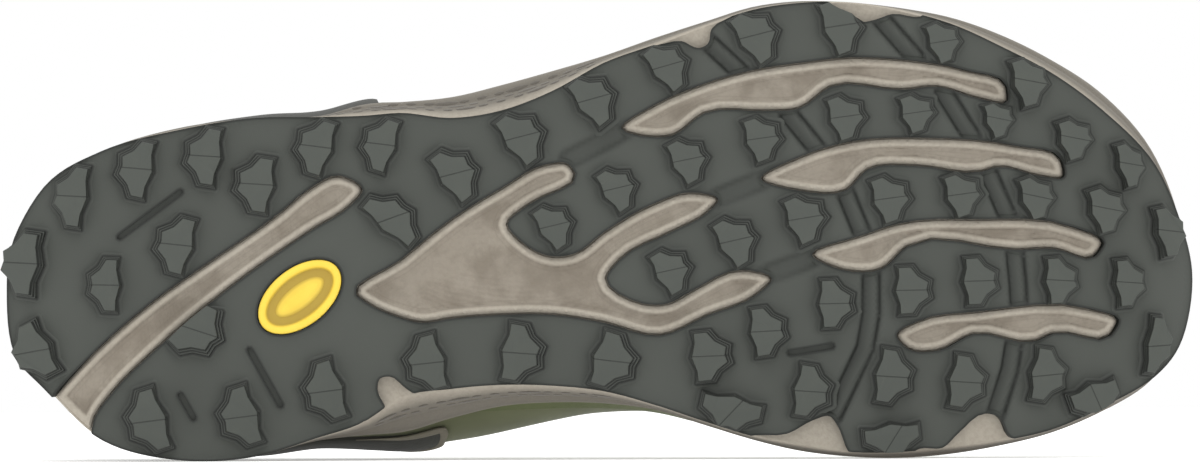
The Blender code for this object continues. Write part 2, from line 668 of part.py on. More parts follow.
def make_outsole():
    plate = tread_prism("outsole", 0.0, LUG_HEIGHT, LUG_HEIGHT + RUBBER)

    def build(shape):
        for row in LUGS:
            foot, top = loft(shape, lug_rings(*row))
            shape.faces.new(foot)
            shape.faces.new(top)

    lugs = mesh_object("lugs", build)
    clip = tread_prism("clip", 0.00025, -0.001, LUG_HEIGHT + RUBBER + 0.001)
    add_modifier(lugs, clip, "INTERSECT")
    add_modifier(plate, lugs, "UNION")
    bend_object(plate)
    return plate


def make_midsole():
    bottom_height = LUG_HEIGHT + RUBBER + GAP

    def build(shape):
        rubber = OUTLINE.rubber(AROUND)
        foam = OUTLINE.foam(AROUND)
        flat = np.concatenate([rubber, np.full((len(rubber), 1), bottom_height)], axis=1)
        low = bent(flat)
        rings = []
        for out, inset, up in WALL_RINGS:
            place = grown(low[:, :2] * (1 - out) + foam * out, -inset)
            rim = footbed(place[:, 0]) + RIM_HEIGHT
            height = low[:, 2] * (1 - up) + rim * up
            rings.append(np.concatenate([place, height[:, None]], axis=1))
        place = grown(foam, -RIM_WIDTH - 0.0004)
        rings.append(np.concatenate([place, footbed(place[:, 0])[:, None]], axis=1))
        rows = loft(shape, rings)
        ladder(shape, rows[0])
        ladder(shape, rows[-1])

    midsole = mesh_object("midsole", build)
    inside = bottom_height + 0.0012
    for points in OPENINGS:
        island = prism("island", [grown(smooth_polygon(points), -1.5 * GAP)], LUG_HEIGHT + ISLAND_RECESS, inside)
        bend_object(island)
        add_modifier(midsole, island, "UNION")
    groove = prism("island", [grown(smooth_polygon(HEEL_GROOVE), -1.5 * GAP)], LUG_HEIGHT + ISLAND_RECESS, inside)
    edge = prism("edge", [grown(OUTLINE.rubber(AROUND), -0.0008)], 0, 0.02)
    add_modifier(groove, edge, "INTERSECT")
    bend_object(groove)
    add_modifier(midsole, groove, "UNION")
    return midsole


def make_insole():
    def build(shape):
        rings = []
        for inset, up in ((0.0008, 0.0), (0.0006, 0.75), (0.0016, 1.0)):
            place = grown(OUTLINE.foam(AROUND), -RIM_WIDTH - inset)
            height = footbed(place[:, 0]) + GAP + up * INSOLE
            rings.append(np.concatenate([place, height[:, None]], axis=1))
        rows = loft(shape, rings)
        ladder(shape, rows[0])
        ladder(shape, rows[-1])

    return mesh_object("insole", build)


def make_upper():
    def build(shape):
        shares = np.linspace(0, 1, UPPER_ROWS)
        outer = []
        inner = []
        for share in shares:
            point, normal, up = upper_frame(AROUND, share)
            depth = wall_thickness(AROUND, share)[:, None]
            outer.append(point)
            inner.append(point - normal * depth)
        foot_height = outer[0][:, 2]
        inner[0][:, 2] = foot_height
        lip = (outer[-1] + inner[-1]) / 2 + up * depth * 0.35
        rows = loft(shape, [*outer, lip, *reversed(inner)])
        count = len(AROUND)
        for i in range(count):
            j = (i + 1) % count
            shape.faces.new((rows[-1][i], rows[-1][j], rows[0][j], rows[0][i]))

    return mesh_object("upper", build)


def make_overlay(name, measures, low, high, rows, outer_gap=OVERLAY_GAP, depth=OVERLAY):
    """A skin over the upper between two shares of its lines, a little off its face."""

    def build(shape):
        grids = []
        for off in (outer_gap + depth, outer_gap):
            grid = []
            for k in range(rows + 1):
                share = low + (high - low) * k / rows
                point, normal, _ = upper_frame(measures, share)
                grid.append([shape.verts.new(p) for p in point + normal * off])
            grids.append(grid)
        outside, inside = grids
        for k in range(rows):
            for i in range(len(measures) - 1):
                for grid in grids:
                    shape.faces.new((grid[k][i], grid[k][i + 1], grid[k + 1][i + 1], grid[k + 1][i]))
        for i in range(len(measures) - 1):
            for k in (0, rows):
                shape.faces.new((outside[k][i], outside[k][i + 1], inside[k][i + 1], inside[k][i]))
        for k in range(rows):
            for i in (0, -1):
                shape.faces.new((outside[k][i], outside[k + 1][i], inside[k + 1][i], inside[k][i]))

    return mesh_object(name, build)


def measures_between(start, end):
    """The shoe's own stations between two measures and their middles, with both ends."""
    step = OUTLINE.total / (4 * HALF)
    first = math.ceil(start / step + 0.4)
    last = math.floor(end / step - 0.4)
    return np.array([start, *(step * np.arange(first, last + 1)), end])


def counter_top(measures):
    """The upper edge of the heel overlay as a share: high round the heel, swept down to its tips."""
    start, end = measures[0], measures[-1]
    along = np.abs((measures - start) / (end - start) * 2 - 1)
    reach = COUNTER_DEPTH * np.sqrt(np.clip(1 - along**3.2, 0, 1))
    return (reach + 0.003) / upper_length(measures)


def make_counter():
    start = OUTLINE.measure(36.2, True) - OUTLINE.total
    end = OUTLINE.measure(34.0, False)
    measures = measures_between(start, end)
    low = 0.001 / upper_length(measures)
    high = counter_top(measures)
    trim = (GAP + TRIM_WIDTH) / upper_length(measures)
    gap = GAP / upper_length(measures)
    counter = make_overlay("heel_counter", measures, low, high, 4)
    edge = make_overlay("counter_trim", measures, high + gap, high + trim, 1)
    return counter, edge


def make_mudguard():
    start = OUTLINE.measure(37.8, False)
    end = OUTLINE.measure(38.6, True)
    measures = measures_between(start, end)
    along = np.abs((measures - start) / (end - start) * 2 - 1)
    length = upper_length(measures)
    high = MUDGUARD_DEPTH * (1 - 0.55 * along**2) * np.sqrt(np.clip(1 - along**16, 0.04, 1)) / length
    return make_overlay("mudguard", measures, 0.001 / length, high, 2)


def throat_measures(x_shares, arch_side):
    """Measures whose lines end at the given places of the throat's edge."""
    table = ARCH_LINES if arch_side else OUTER_LINES
    ends = [row[1] for row in table]
    feet = [row[0] for row in table]
    return np.array([OUTLINE.measure(np.interp(x, ends, feet), arch_side) for x in x_shares])


def throat_point(x, depth, arch_side, off):
    """A point off the face, above a place of the throat's edge and this deep behind it."""
    at = throat_measures([x], arch_side)
    point, normal, _ = upper_frame(at, 1 - depth / upper_length(at))
    return point[0] + normal[0] * off, normal[0]


def eyelets():
    """Places of the eyelets with their normals: outer side, then arch side, front first."""
    return [
        [throat_point(x, EYELET_INSET, arch_side, OVERLAY_GAP) for x in EYELET_PLACES]
        for arch_side in (False, True)
    ]


def make_eyestay():
    places = [*np.linspace(38.4, 61.0, 9), 62.4, 63.4, 64.1]
    outer = throat_measures(places, False)
    arch = throat_measures(places, True)
    measures = np.concatenate([outer, [OUTLINE.half_length], arch[::-1]])
    length = upper_length(measures)
    eyestay = make_overlay("eyestay", measures, 1 - EYESTAY_WIDTH / length, 1 - 0.0004 / length, 3)

    def build(shape):
        for point, normal in sum(eyelets(), []):
            turn = Vector(normal).to_track_quat("Z", "Y").to_matrix().to_4x4()
            place = Matrix.Translation(Vector(point)) @ turn
            bore = {"radius1": EYELET / 2, "radius2": EYELET / 2, "depth": 0.006}
            bmesh.ops.create_cone(shape, cap_ends=True, segments=8, matrix=place, **bore)

    holes = mesh_object("eyelet holes", build)
    add_modifier(eyestay, holes, "DIFFERENCE")
    return eyestay


def tongue_sections():
    """The tongue's top face, a row of points across for each station, front first."""
    sections = []
    for x in (62.4, 60.0, 56.0, 51.5, 47.0, 42.5, 39.4):
        sides = []
        for arch_side in (False, True):
            at = throat_measures([x], arch_side)
            tuck = TONGUE_TUCK * min(1, (63.5 - x) / 3, (x - 38.4) / 4)
            row = []
            for depth in (tuck, tuck / 2, 0.0):
                share = 1 - depth / upper_length(at)
                point, normal, _ = upper_frame(at, share)
                clear = wall_thickness(at, share)[0] + 4 * GAP
                row.append(point[0] - normal[0] * clear)
            sides.append(row)
        outer, arch = sides
        across = [outer[-1] * (1 - s) + arch[-1] * s for s in (0.25, 0.5, 0.75)]
        for point, crown in zip(across, (0.0011, 0.0016, 0.0011)):
            point[2] += crown
        sections.append([*outer, *across, *reversed(arch)])
    middle = sections[-1][4][1]
    for x, share, half_width, drop in TONGUE_TOP:
        row = []
        for u in (-1, -0.85, -0.62, -0.33, 0, 0.33, 0.62, 0.85, 1):
            height = share * TONGUE_HEIGHT - drop * BALL_WIDTH * u * u
            row.append(np.array((x / 100 * LENGTH, middle + u * half_width * BALL_WIDTH, height)))
        sections.append(row)
    return sections


def make_tongue():
    def build(shape):
        top = tongue_sections()
        bottom = []
        for i, row in enumerate(top):
            along = np.array(top[min(i + 1, len(top) - 1)][4]) - np.array(top[max(i - 1, 0)][4])
            down = np.array((along[2], 0.0, -along[0]))
            down /= np.linalg.norm(down)
            if down[2] > 0:
                down = -down
            centre = np.array(row[4]) + down * TONGUE_BEND
            bottom.append([p + (centre - p) / np.linalg.norm(centre - p) * TONGUE for p in row])
        rings = [[*t, *reversed(b)] for t, b in zip(top, bottom)]
        rows = loft(shape, rings)
        count = len(top[0])
        for row in (rows[0], rows[-1]):
            for k in range(count - 1):
                shape.faces.new((row[k], row[k + 1], row[-k - 2], row[-k - 1]))

    return mesh_object("tongue", build)


def crossing(x_start, x_end, to_arch):
    """The line of a strand from one side's eyelet to the other's, over the eyestay and tongue."""
    off = OVERLAY_GAP + OVERLAY + LACE_RADIUS + GAP + 0.0003
    edge = 0.22
    points = []
    for share in (0.0, 0.10, edge, 0.5, 1 - edge, 0.90, 1.0):
        x = x_start + (x_end - x_start) * share
        across = share if to_arch else 1 - share
        if across <= edge:
            point, _ = throat_point(x, EYELET_INSET * (1 - across / edge), False, off)
        elif across >= 1 - edge:
            point, _ = throat_point(x, EYELET_INSET * (1 - (1 - across) / edge), True, off)
        else:
            along = (across - edge) / (1 - 2 * edge)
            outer, arch = (throat_point(x, 0.0, side, off)[0] for side in (False, True))
            point = outer * (1 - along) + arch * along
            point[2] += 0.0022 * math.sin(math.pi * along)
        points.append(point)
    return points


def lace_tube(name, path):
    """A tube along the points."""
    curve = bpy.data.curves.new(name, "CURVE")
    curve.dimensions = "3D"
    curve.bevel_depth = LACE_RADIUS
    curve.bevel_resolution = 2
    curve.use_fill_caps = True
    spline = curve.splines.new("POLY")
    spline.points.add(len(path) - 1)
    for corner, point in zip(spline.points, path):
        corner.co = (*point, 1)
    tube = bpy.data.objects.new(name, curve)
    WORK.objects.link(tube)
    bpy.context.view_layer.update()
    mesh = bpy.data.meshes.new_from_object(tube.evaluated_get(bpy.context.evaluated_depsgraph_get()))
    bpy.data.objects.remove(tube)
    shape = bmesh.new()
    shape.from_mesh(mesh)
    bmesh.ops.remove_doubles(shape, verts=shape.verts, dist=1e-6)
    bmesh.ops.recalc_face_normals(shape, faces=shape.faces)
    shape.to_mesh(mesh)
    shape.free()
    return bpy.data.objects.new(name, mesh)


def make_lace():
    """Two strands that cross between the eyelets, joined by the bar at the front."""
    front = EYELET_PLACES[0]
    first = []
    second = crossing(front, front, True)
    to_arch = True
    for x_start, x_end in zip(EYELET_PLACES, EYELET_PLACES[1:]):
        first += crossing(x_start, x_end, to_arch)[1 if first else 0 :]
        second += crossing(x_start, x_end, not to_arch)[1:]
        to_arch = not to_arch
    lace = lace_tube("lace", first)
    add_modifier(lace, lace_tube("strand", second), "UNION")
    return lace


def make_inlay():
    """A plain oval plate with a raised rim, let into the heel of the tread."""
    x, y = placed(*INLAY_PLACE)
    top = LUG_HEIGHT + RUBBER
    face = LUG_HEIGHT + ISLAND_RECESS

    def build(shape):
        rings = []
        for shrink, height in ((0.0, top), (0.0, LUG_HEIGHT), (0.0006, LUG_HEIGHT - INLAY_RISE / 2), (0.0015, LUG_HEIGHT - INLAY_RISE / 2), (0.0021, face)):
            ring = ellipse(x, y, INLAY_LENGTH - 2 * shrink, INLAY_WIDTH - 2 * shrink, INLAY_TURN)
            rings.append(bent(np.concatenate([ring, np.full((len(ring), 1), height)], axis=1)))
        rows = loft(shape, rings)
        shape.faces.new(rows[0])
        shape.faces.new(rows[-1])

    return mesh_object("tread_inlay", build)


def weighed(made, density):
    """Mass and mass times centre of a closed mesh."""
    mass, moment = 0.0, Vector((0, 0, 0))
    made.data.calc_loop_triangles()
    for triangle in made.data.loop_triangles:
        a, b, c = (made.data.vertices[i].co for i in triangle.vertices)
        part = a.dot(b.cross(c)) / 6 * density
        mass += part
        moment += (a + b + c) / 4 * part
    return mass, moment


def resting_turn(pieces):
    """The turn that lays the shoe on its arch side, on the flat that its own weight finds."""
    density = {"outsole": RUBBER_DENSITY, "midsole": FOAM_DENSITY}
    mass, moment = 0.0, Vector((0, 0, 0))
    for piece in pieces:
        part, part_moment = weighed(piece, density.get(piece.name, CLOTH_DENSITY))
        mass += part
        moment += part_moment
    centre = moment / mass
    hull = bmesh.new()
    for piece in pieces:
        for vertex in piece.data.vertices:
            hull.verts.new(vertex.co)
    made = bmesh.ops.convex_hull(hull, input=hull.verts)
    inner = [item for item in made["geom_interior"] if isinstance(item, bmesh.types.BMVert)]
    bmesh.ops.delete(hull, geom=inner, context="VERTS")
    bmesh.ops.recalc_face_normals(hull, faces=hull.faces)
    hit = BVHTree.FromBMesh(hull).ray_cast(centre, Vector((0, 1, 0)))
    down = hit[1] if hit[1].y > 0 else -hit[1]
    hull.free()
    up = -down.normalized()
    along = (Vector((1, 0, 0)) - up * up.x).normalized()
    return Matrix((along, up.cross(along), up)).to_4x4()


def finish(piece):
    red, green, blue, roughness = FINISH[piece.name]
    material = bpy.data.materials.new(piece.name)
    material.use_nodes = True
    surface = material.node_tree.nodes["Principled BSDF"]
    surface.inputs["Base Color"].default_value = (red, green, blue, 1)
    surface.inputs["Roughness"].default_value = roughness
    surface.inputs["Metallic"].default_value = 0
    piece.data.materials.clear()
    piece.data.materials.append(material)
    shape = bmesh.new()
    shape.from_mesh(piece.data)
    bmesh.ops.triangulate(shape, faces=shape.faces)
    shape.to_mesh(piece.data)
    shape.free()
    piece.data.shade_smooth()
    piece.data.set_sharp_from_angle(angle=math.radians(35))


def make_shoe():
    counter, trim = make_counter()
    pieces = [make_outsole(), make_midsole(), make_insole(), make_upper(), make_tongue(), make_eyestay()]
    pieces += [counter, trim, make_mudguard(), make_lace(), make_inlay()]
    for piece in pieces:
        finish(piece)
    turn = resting_turn(pieces)
    corners = np.array([turn @ vertex.co for piece in pieces for vertex in piece.data.vertices])
    low, high = corners.min(axis=0), corners.max(axis=0)
    lift = Vector(((low[0] + high[0]) / -2, (low[1] + high[1]) / -2, -low[2]))
    lying = bpy.data.objects.new("lying on its arch side", None)
    SHOE.objects.link(lying)
    lying.matrix_world = Matrix.Translation(lift) @ turn
    for piece in pieces:
        if piece.name in WORK.objects:
            WORK.objects.unlink(piece)
        SHOE.objects.link(piece)
        piece.parent = lying


for old in list(bpy.data.objects):
    bpy.data.objects.remove(old)
SHOE = bpy.data.collections.new("trail_running_shoe")
WORK = bpy.data.collections.new("cutters")
bpy.context.scene.collection.children.link(SHOE)
bpy.context.scene.collection.children.link(WORK)
make_shoe()
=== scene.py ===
"""Looks of the trail running shoe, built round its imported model.

Every shape is made in the shoe's own frame, X from heel to toe, +Y the arch side and Z up from
the tops of the lugs, and then laid on its arch side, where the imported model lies.
"""

import math

import bmesh
import bpy
import numpy as np
from mathutils import Matrix, Vector
from mathutils.geometry import delaunay_2d_cdt
from mathutils.kdtree import KDTree


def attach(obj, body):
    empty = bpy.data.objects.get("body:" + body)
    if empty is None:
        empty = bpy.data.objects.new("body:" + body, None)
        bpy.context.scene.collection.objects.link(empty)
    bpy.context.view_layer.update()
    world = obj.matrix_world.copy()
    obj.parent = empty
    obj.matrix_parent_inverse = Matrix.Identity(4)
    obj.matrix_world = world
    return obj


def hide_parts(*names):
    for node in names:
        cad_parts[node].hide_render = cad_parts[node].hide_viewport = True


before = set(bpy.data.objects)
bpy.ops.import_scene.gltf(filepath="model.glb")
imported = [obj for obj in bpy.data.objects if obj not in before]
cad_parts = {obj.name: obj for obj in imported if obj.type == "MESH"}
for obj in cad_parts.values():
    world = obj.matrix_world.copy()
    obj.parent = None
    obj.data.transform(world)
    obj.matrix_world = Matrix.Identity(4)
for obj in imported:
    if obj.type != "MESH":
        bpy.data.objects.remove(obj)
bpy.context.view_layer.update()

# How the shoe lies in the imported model, on the flat of its arch side: lean of the sole from
# upright and turn in the sole's plane, in degrees, and where its own frame's origin comes to lie
LEAN = 1.501294
LEVEL_TURN = 0.249219
LYING_PLACE = (-0.14940579, -0.05522554, 0.05327465)
LYING = (
    Matrix.Translation(LYING_PLACE)
    @ Matrix.Rotation(math.radians(LEVEL_TURN), 4, "Y")
    @ Matrix.Rotation(math.radians(LEAN - 90), 4, "X")
)

# Main sizes in metres
LENGTH = 0.300
BALL_WIDTH = 0.1157
HEEL_HEIGHT = 0.098
INSTEP_HEIGHT = 0.087
TONGUE_HEIGHT = 0.112

# Sole
LUG_HEIGHT = 0.004
LUG_LENGTH = 0.01358
LUG_WIDTH = 0.01006
RUBBER = 0.0022
HEEL_STACK = 0.027
BALL_STACK = 0.0205
RIM_HEIGHT = 0.0045
RIM_WIDTH = 0.0058
TOE_SPRING = 0.013
SPRING_START = 0.212
TOE_ROLL = 0.005
ROLL_LENGTH = 0.012
HEEL_BEVEL = 0.0065
BEVEL_LENGTH = 0.022
ISLAND_RECESS = 0.0008
SLOT_WIDTH = 0.0013
INLAY_LENGTH = 0.024
INLAY_WIDTH = 0.0145
INLAY_TURN = -38
INLAY_RISE = 0.0009
INSOLE = 0.0035

# Upper
WALL = 0.002
COLLAR_PAD = 0.0055
FEATHER_INSET = 0.0022
OVERLAY = 0.001
OVERLAY_GAP = 0.0008
COUNTER_DEPTH = 0.030
TRIM_WIDTH = 0.0022
MUDGUARD_DEPTH = 0.011
EYESTAY_WIDTH = 0.016
EYELET = 0.0048
EYELET_INSET = 0.0075
EYELET_PAIRS = 6
EYELET_PLACES = tuple(59.0 - 3.88 * k for k in range(EYELET_PAIRS))
TONGUE = 0.0045
TONGUE_TUCK = 0.014
TONGUE_BEND = 0.045
GAP = 0.0003

# Places on the sole are in hundredths of LENGTH from the heel and of BALL_WIDTH from the axis.
# x, rubber edge at the outer and the arch side, foam edge at the outer and the arch side
SOLE = (
    (0.9, -4.1, 23.9, -5.2, 24.7),
    (3.0, -13.0, 29.6, -13.7, 30.2),
    (8.1, -21.5, 41.3, -22.0, 41.6),
    (14.6, -26.1, 45.7, -27.0, 45.9),
    (21.0, -28.7, 44.9, -28.9, 45.1),
    (26.1, -28.9, 40.9, -29.4, 41.9),
    (30.2, -29.2, 37.2, -32.1, 40.7),
    (33.1, -29.8, 32.2, -32.5, 40.1),
    (37.4, -28.7, 30.2, -33.6, 36.9),
    (41.7, -30.4, 29.3, -36.3, 34.3),
    (45.9, -34.6, 29.5, -39.3, 33.5),
    (50.2, -40.7, 30.7, -42.6, 33.7),
    (54.5, -44.7, 33.7, -46.5, 35.1),
    (58.8, -48.9, 37.4, -50.1, 38.5),
    (63.0, -52.4, 40.7, -53.4, 41.8),
    (66.6, -53.7, 42.4, -54.5, 44.0),
    (70.8, -53.9, 43.9, -54.2, 45.3),
    (75.6, -51.9, 43.8, -52.9, 45.6),
    (79.5, -49.0, 42.8, -51.0, 44.8),
    (83.7, -44.1, 41.5, -47.3, 43.0),
    (88.0, -38.3, 39.0, -41.9, 40.3),
    (92.3, -30.2, 34.1, -34.7, 35.8),
    (96.6, -18.9, 27.8, -22.6, 29.0),
    (99.0, -5.5, 20.0, -8.4, 20.0),
)
HEEL_TIP = (0.0, 9.0)
TOE_TIP = (100.0, 6.7)
FOAM_TOE_TIP = (99.7, 6.0)

# Openings of the tread that show the foam, as smooth closed lines
OPENINGS = (
    (
        (29.4, 9.7), (33.1, 2.2), (37.4, -6.7), (41.7, -13.6), (45.3, -18.6), (47.2, -18.7),
        (47.8, -16.6), (43.8, -9.7), (42.1, -5.5), (43.2, -2.0), (45.9, 1.4), (47.7, 0.8),
        (50.2, -3.9), (54.5, -10.2), (57.3, -12.5), (59.8, -10.9), (58.8, -8.0), (56.0, -4.1),
        (51.5, 2.2), (50.4, 6.1), (53.4, 11.6), (55.6, 11.6), (57.3, 9.3), (61.8, 4.3),
        (64.3, 6.3), (63.0, 9.7), (58.8, 14.3), (54.9, 18.6), (50.2, 15.8), (45.9, 14.1),
        (41.7, 14.1), (37.4, 14.9), (34.8, 15.8), (33.1, 14.7), (30.3, 11.5),
    ),
    (
        (51.6, -26.6), (54.5, -31.6), (58.8, -36.3), (63.0, -39.3), (66.6, -40.7), (70.9, -41.9),
        (75.2, -41.4), (80.6, -39.1), (84.0, -35.8), (84.1, -32.4), (81.6, -33.0), (78.2, -35.5),
        (75.2, -34.8), (69.2, -35.5), (66.6, -30.8), (64.1, -30.2), (58.6, -29.7), (55.9, -24.8),
    ),
    (
        (63.3, -15.5), (66.6, -20.2), (70.9, -23.6), (77.3, -24.4), (84.8, -22.7), (88.7, -19.7),
        (88.9, -15.9), (86.9, -16.1), (83.1, -18.0), (82.0, -17.1), (76.3, -18.3), (72.3, -17.5),
        (70.5, -13.0), (66.6, -12.9),
    ),
    (
        (67.6, 1.1), (72.0, -3.3), (74.8, -5.7), (81.6, -6.7), (89.7, -5.0), (92.3, -1.5),
        (91.5, 1.5), (88.0, -0.3), (85.0, 0.0), (75.6, -0.7), (73.5, 4.1), (70.3, 4.4),
    ),
    (
        (74.7, 18.5), (76.5, 15.5), (81.6, 13.4), (91.2, 12.9), (93.6, 15.4), (92.9, 18.7),
        (88.0, 18.2), (86.5, 19.9), (81.2, 18.3), (78.2, 21.9), (75.7, 21.5),
    ),
)

# The groove across the heel, which runs out over the edge of the tread
HEEL_GROOVE = (
    (30.0, -13.0), (28.0, -16.2), (25.2, -12.8), (23.1, -8.3), (16.7, 3.3), (12.4, 11.1),
    (6.0, 26.1), (3.8, 32.6), (2.2, 42.0), (6.8, 46.0), (7.5, 36.5), (9.2, 30.4),
    (12.4, 22.2), (18.8, 8.3), (25.6, -4.1), (29.1, -10.0),
)

# Notches in the edge of the tread, each closed beyond the edge
NOTCHES = (
    (
        (29.5, 38.3), (31.9, 34.9), (31.2, 30.4), (31.4, 28.0), (32.2, 27.5), (33.7, 30.3),
        (34.9, 32.0), (36.8, 31.4), (37.2, 38.0), (33.0, 43.5), (29.0, 43.5),
    ),
    (
        (62.0, 40.9), (65.6, 39.9), (67.9, 36.8), (69.1, 36.1), (69.8, 38.3), (70.5, 42.9),
        (72.0, 50.0), (66.0, 53.0), (60.0, 50.0),
    ),
    (
        (76.5, 43.3), (78.6, 43.0), (79.9, 39.9), (82.2, 35.6), (83.2, 36.1), (84.2, 40.6),
        (86.5, 43.0), (86.0, 50.0), (80.0, 52.0), (75.5, 50.0),
    ),
    (
        (54.0, -44.6), (56.7, -45.4), (58.2, -43.9), (58.9, -44.8), (59.2, -48.0), (61.3, -51.8),
        (61.0, -60.0), (56.0, -60.0), (52.0, -50.0),
    ),
    (
        (69.2, -53.4), (71.1, -51.1), (71.8, -49.6), (72.7, -49.9), (74.4, -51.3), (76.8, -50.8),
        (78.0, -58.0), (73.0, -62.0), (68.0, -58.7),
    ),
)

# Narrow slots: both ends
SLOTS = (
    (9.6, -2.8, 14.7, -12.6),
    (14.7, 31.5, 15.8, 36.5),
    (20.5, 21.7, 23.1, 33.7),
    (65.8, 22.4, 69.3, 20.9),
)
INLAY_PLACE = (24.7, 10.2)

# Lugs: x, y, turn of the long axis from the arch side toward the toe in degrees, length and
# width as shares of LUG_LENGTH and LUG_WIDTH, and the way that the pair of points looks
TOE, HEEL = 1, -1
LUGS = (
    (5.7, -11.7, -9, 1.22, 0.90, HEEL),
    (11.0, -17.7, -12, 1.15, 1.00, HEEL),
    (16.7, -20.4, -9, 1.15, 1.02, HEEL),
    (21.0, -14.3, -9, 1.11, 1.10, HEEL),
    (26.0, -22.5, -18, 1.11, 1.02, HEEL),
    (31.4, -23.0, -18, 1.07, 0.95, HEEL),
    (32.6, -7.1, 50, 1.25, 0.95, TOE),
    (14.3, -1.2, -15, 1.15, 1.05, HEEL),
    (1.6, 2.8, -8, 1.26, 1.10, HEEL),
    (8.4, 7.6, -2, 1.06, 0.90, HEEL),
    (2.6, 22.2, 28, 1.11, 1.10, HEEL),
    (12.0, 37.2, 18, 1.26, 1.10, HEEL),
    (19.7, 36.3, 18, 1.19, 1.10, HEEL),
    (26.8, 30.7, 18, 1.19, 1.10, HEEL),
    (35.3, 24.6, 15, 1.11, 1.10, HEEL),
    (16.3, 17.6, -45, 1.15, 1.20, TOE),
    (37.9, -16.7, 37, 1.11, 1.05, TOE),
    (43.4, -24.7, 37, 1.09, 1.10, TOE),
    (49.4, -32.9, 39, 1.06, 1.05, TOE),
    (55.6, -40.1, 40, 1.00, 1.00, TOE),
    (63.0, -46.7, 36, 1.09, 1.10, TOE),
    (70.1, -48.7, 22, 1.11, 1.05, TOE),
    (78.6, -45.3, 23, 0.81, 0.90, TOE),
    (85.8, -36.7, 17, 0.96, 1.00, TOE),
    (46.1, -5.4, 34, 0.91, 0.95, TOE),
    (51.4, -13.5, 34, 0.89, 0.95, TOE),
    (57.3, -19.7, 29, 0.91, 1.00, TOE),
    (63.5, -24.3, 20, 0.89, 1.00, TOE),
    (70.5, -29.0, 20, 0.89, 1.00, TOE),
    (76.4, -29.9, 20, 0.76, 0.95, TOE),
    (83.2, -28.5, 19, 0.70, 0.80, TOE),
    (89.6, -24.3, 18, 0.81, 0.95, TOE),
    (94.3, -18.7, 16, 0.89, 0.75, TOE),
    (55.9, 4.3, 31, 0.91, 1.00, TOE),
    (61.3, -2.2, 32, 1.00, 1.05, TOE),
    (67.1, -7.0, 24, 0.96, 1.10, TOE),
    (74.2, -11.3, 20, 0.93, 1.05, TOE),
    (80.2, -12.2, 20, 0.87, 1.00, TOE),
    (86.4, -11.6, 20, 0.87, 0.95, TOE),
    (92.3, -9.0, 18, 0.91, 1.00, TOE),
    (97.5, -4.1, 12, 1.00, 0.75, TOE),
    (63.9, 17.6, 8, 0.98, 1.02, TOE),
    (69.6, 11.6, 3, 0.97, 1.00, TOE),
    (76.0, 8.7, 3, 0.96, 1.02, TOE),
    (81.6, 6.7, 4, 0.96, 1.00, TOE),
    (88.4, 6.6, 5, 0.94, 0.95, TOE),
    (94.2, 7.1, 6, 0.95, 0.88, TOE),
    (43.3, 22.4, -10, 1.15, 1.15, TOE),
    (51.0, 24.1, -17, 1.11, 1.20, TOE),
    (59.1, 23.0, 6, 1.00, 1.10, TOE),
    (67.6, 30.7, -9, 1.04, 1.05, TOE),
    (74.4, 27.5, -9, 1.09, 1.05, TOE),
    (80.5, 28.7, -9, 1.06, 1.05, TOE),
    (87.3, 27.2, -9, 1.06, 1.02, TOE),
    (96.6, 20.9, -8, 1.15, 0.65, TOE),
    (60.8, 35.4, 77, 1.22, 1.00, HEEL),
    (74.3, 41.3, 97, 1.11, 0.95, HEEL),
    (91.4, 33.0, 110, 1.00, 1.10, HEEL),
)
# Half of a lug's outline at its foot and at its top, as shares of its half length and half
# width, from the arch side's end round to the single point: foot u, foot v, top u, top v
LUG_SHAPE = (
    (0.00, 0.95, 0.00, 0.57),
    (0.36, 1.05, 0.26, 0.66),
    (0.65, 0.46, 0.50, 0.20),
    (1.00, 0.16, 0.85, -0.13),
    (1.00, -0.80, 0.85, -0.62),
    (0.52, -0.70, 0.52, -0.64),
    (0.00, -0.95, 0.00, -0.82),
)

# The upper, one row for each line from the foot of the wall up to the opening. The foot and
# opening places are in hundredths of LENGTH and BALL_WIDTH, the opening's height is a share of
# the height named after it. The last four are the line's handles as shares of BALL_WIDTH: how
# far it leans out and rises at its foot, how far it reaches and drops out of the opening.
HEEL_LINE = (0.0, 3.8, 8.6, 1.00, HEEL_HEIGHT, 0.055, 0.19, 0.01, 0.19)
OUTER_LINES = (
    (4.0, 6.2, -5.5, 0.99, HEEL_HEIGHT, 0.045, 0.19, 0.015, 0.19),
    (12.0, 12.5, -15.0, 0.91, HEEL_HEIGHT, 0.040, 0.19, 0.035, 0.18),
    (23.5, 21.5, -19.0, 0.795, HEEL_HEIGHT, 0.065, 0.18, 0.07, 0.14),
    (31.5, 30.0, -18.0, 0.815, HEEL_HEIGHT, 0.075, 0.18, 0.08, 0.13),
    (40.0, 38.5, -15.0, 1.00, INSTEP_HEIGHT, 0.055, 0.18, 0.11, 0.14),
    (52.0, 50.0, -12.5, 0.87, INSTEP_HEIGHT, 0.02, 0.15, 0.17, 0.08),
    (67.0, 60.0, -9.0, 0.755, INSTEP_HEIGHT, 0.0, 0.13, 0.25, 0.05),
    (81.0, 63.0, -5.5, 0.73, INSTEP_HEIGHT, 0.0, 0.13, 0.35, 0.05),
    (93.0, 64.2, -2.6, 0.72, INSTEP_HEIGHT, 0.0, 0.14, 0.44, 0.045),
)
TOE_LINE = (100.0, 64.6, 0.6, 0.718, INSTEP_HEIGHT, 0.015, 0.14, 0.50, 0.05)
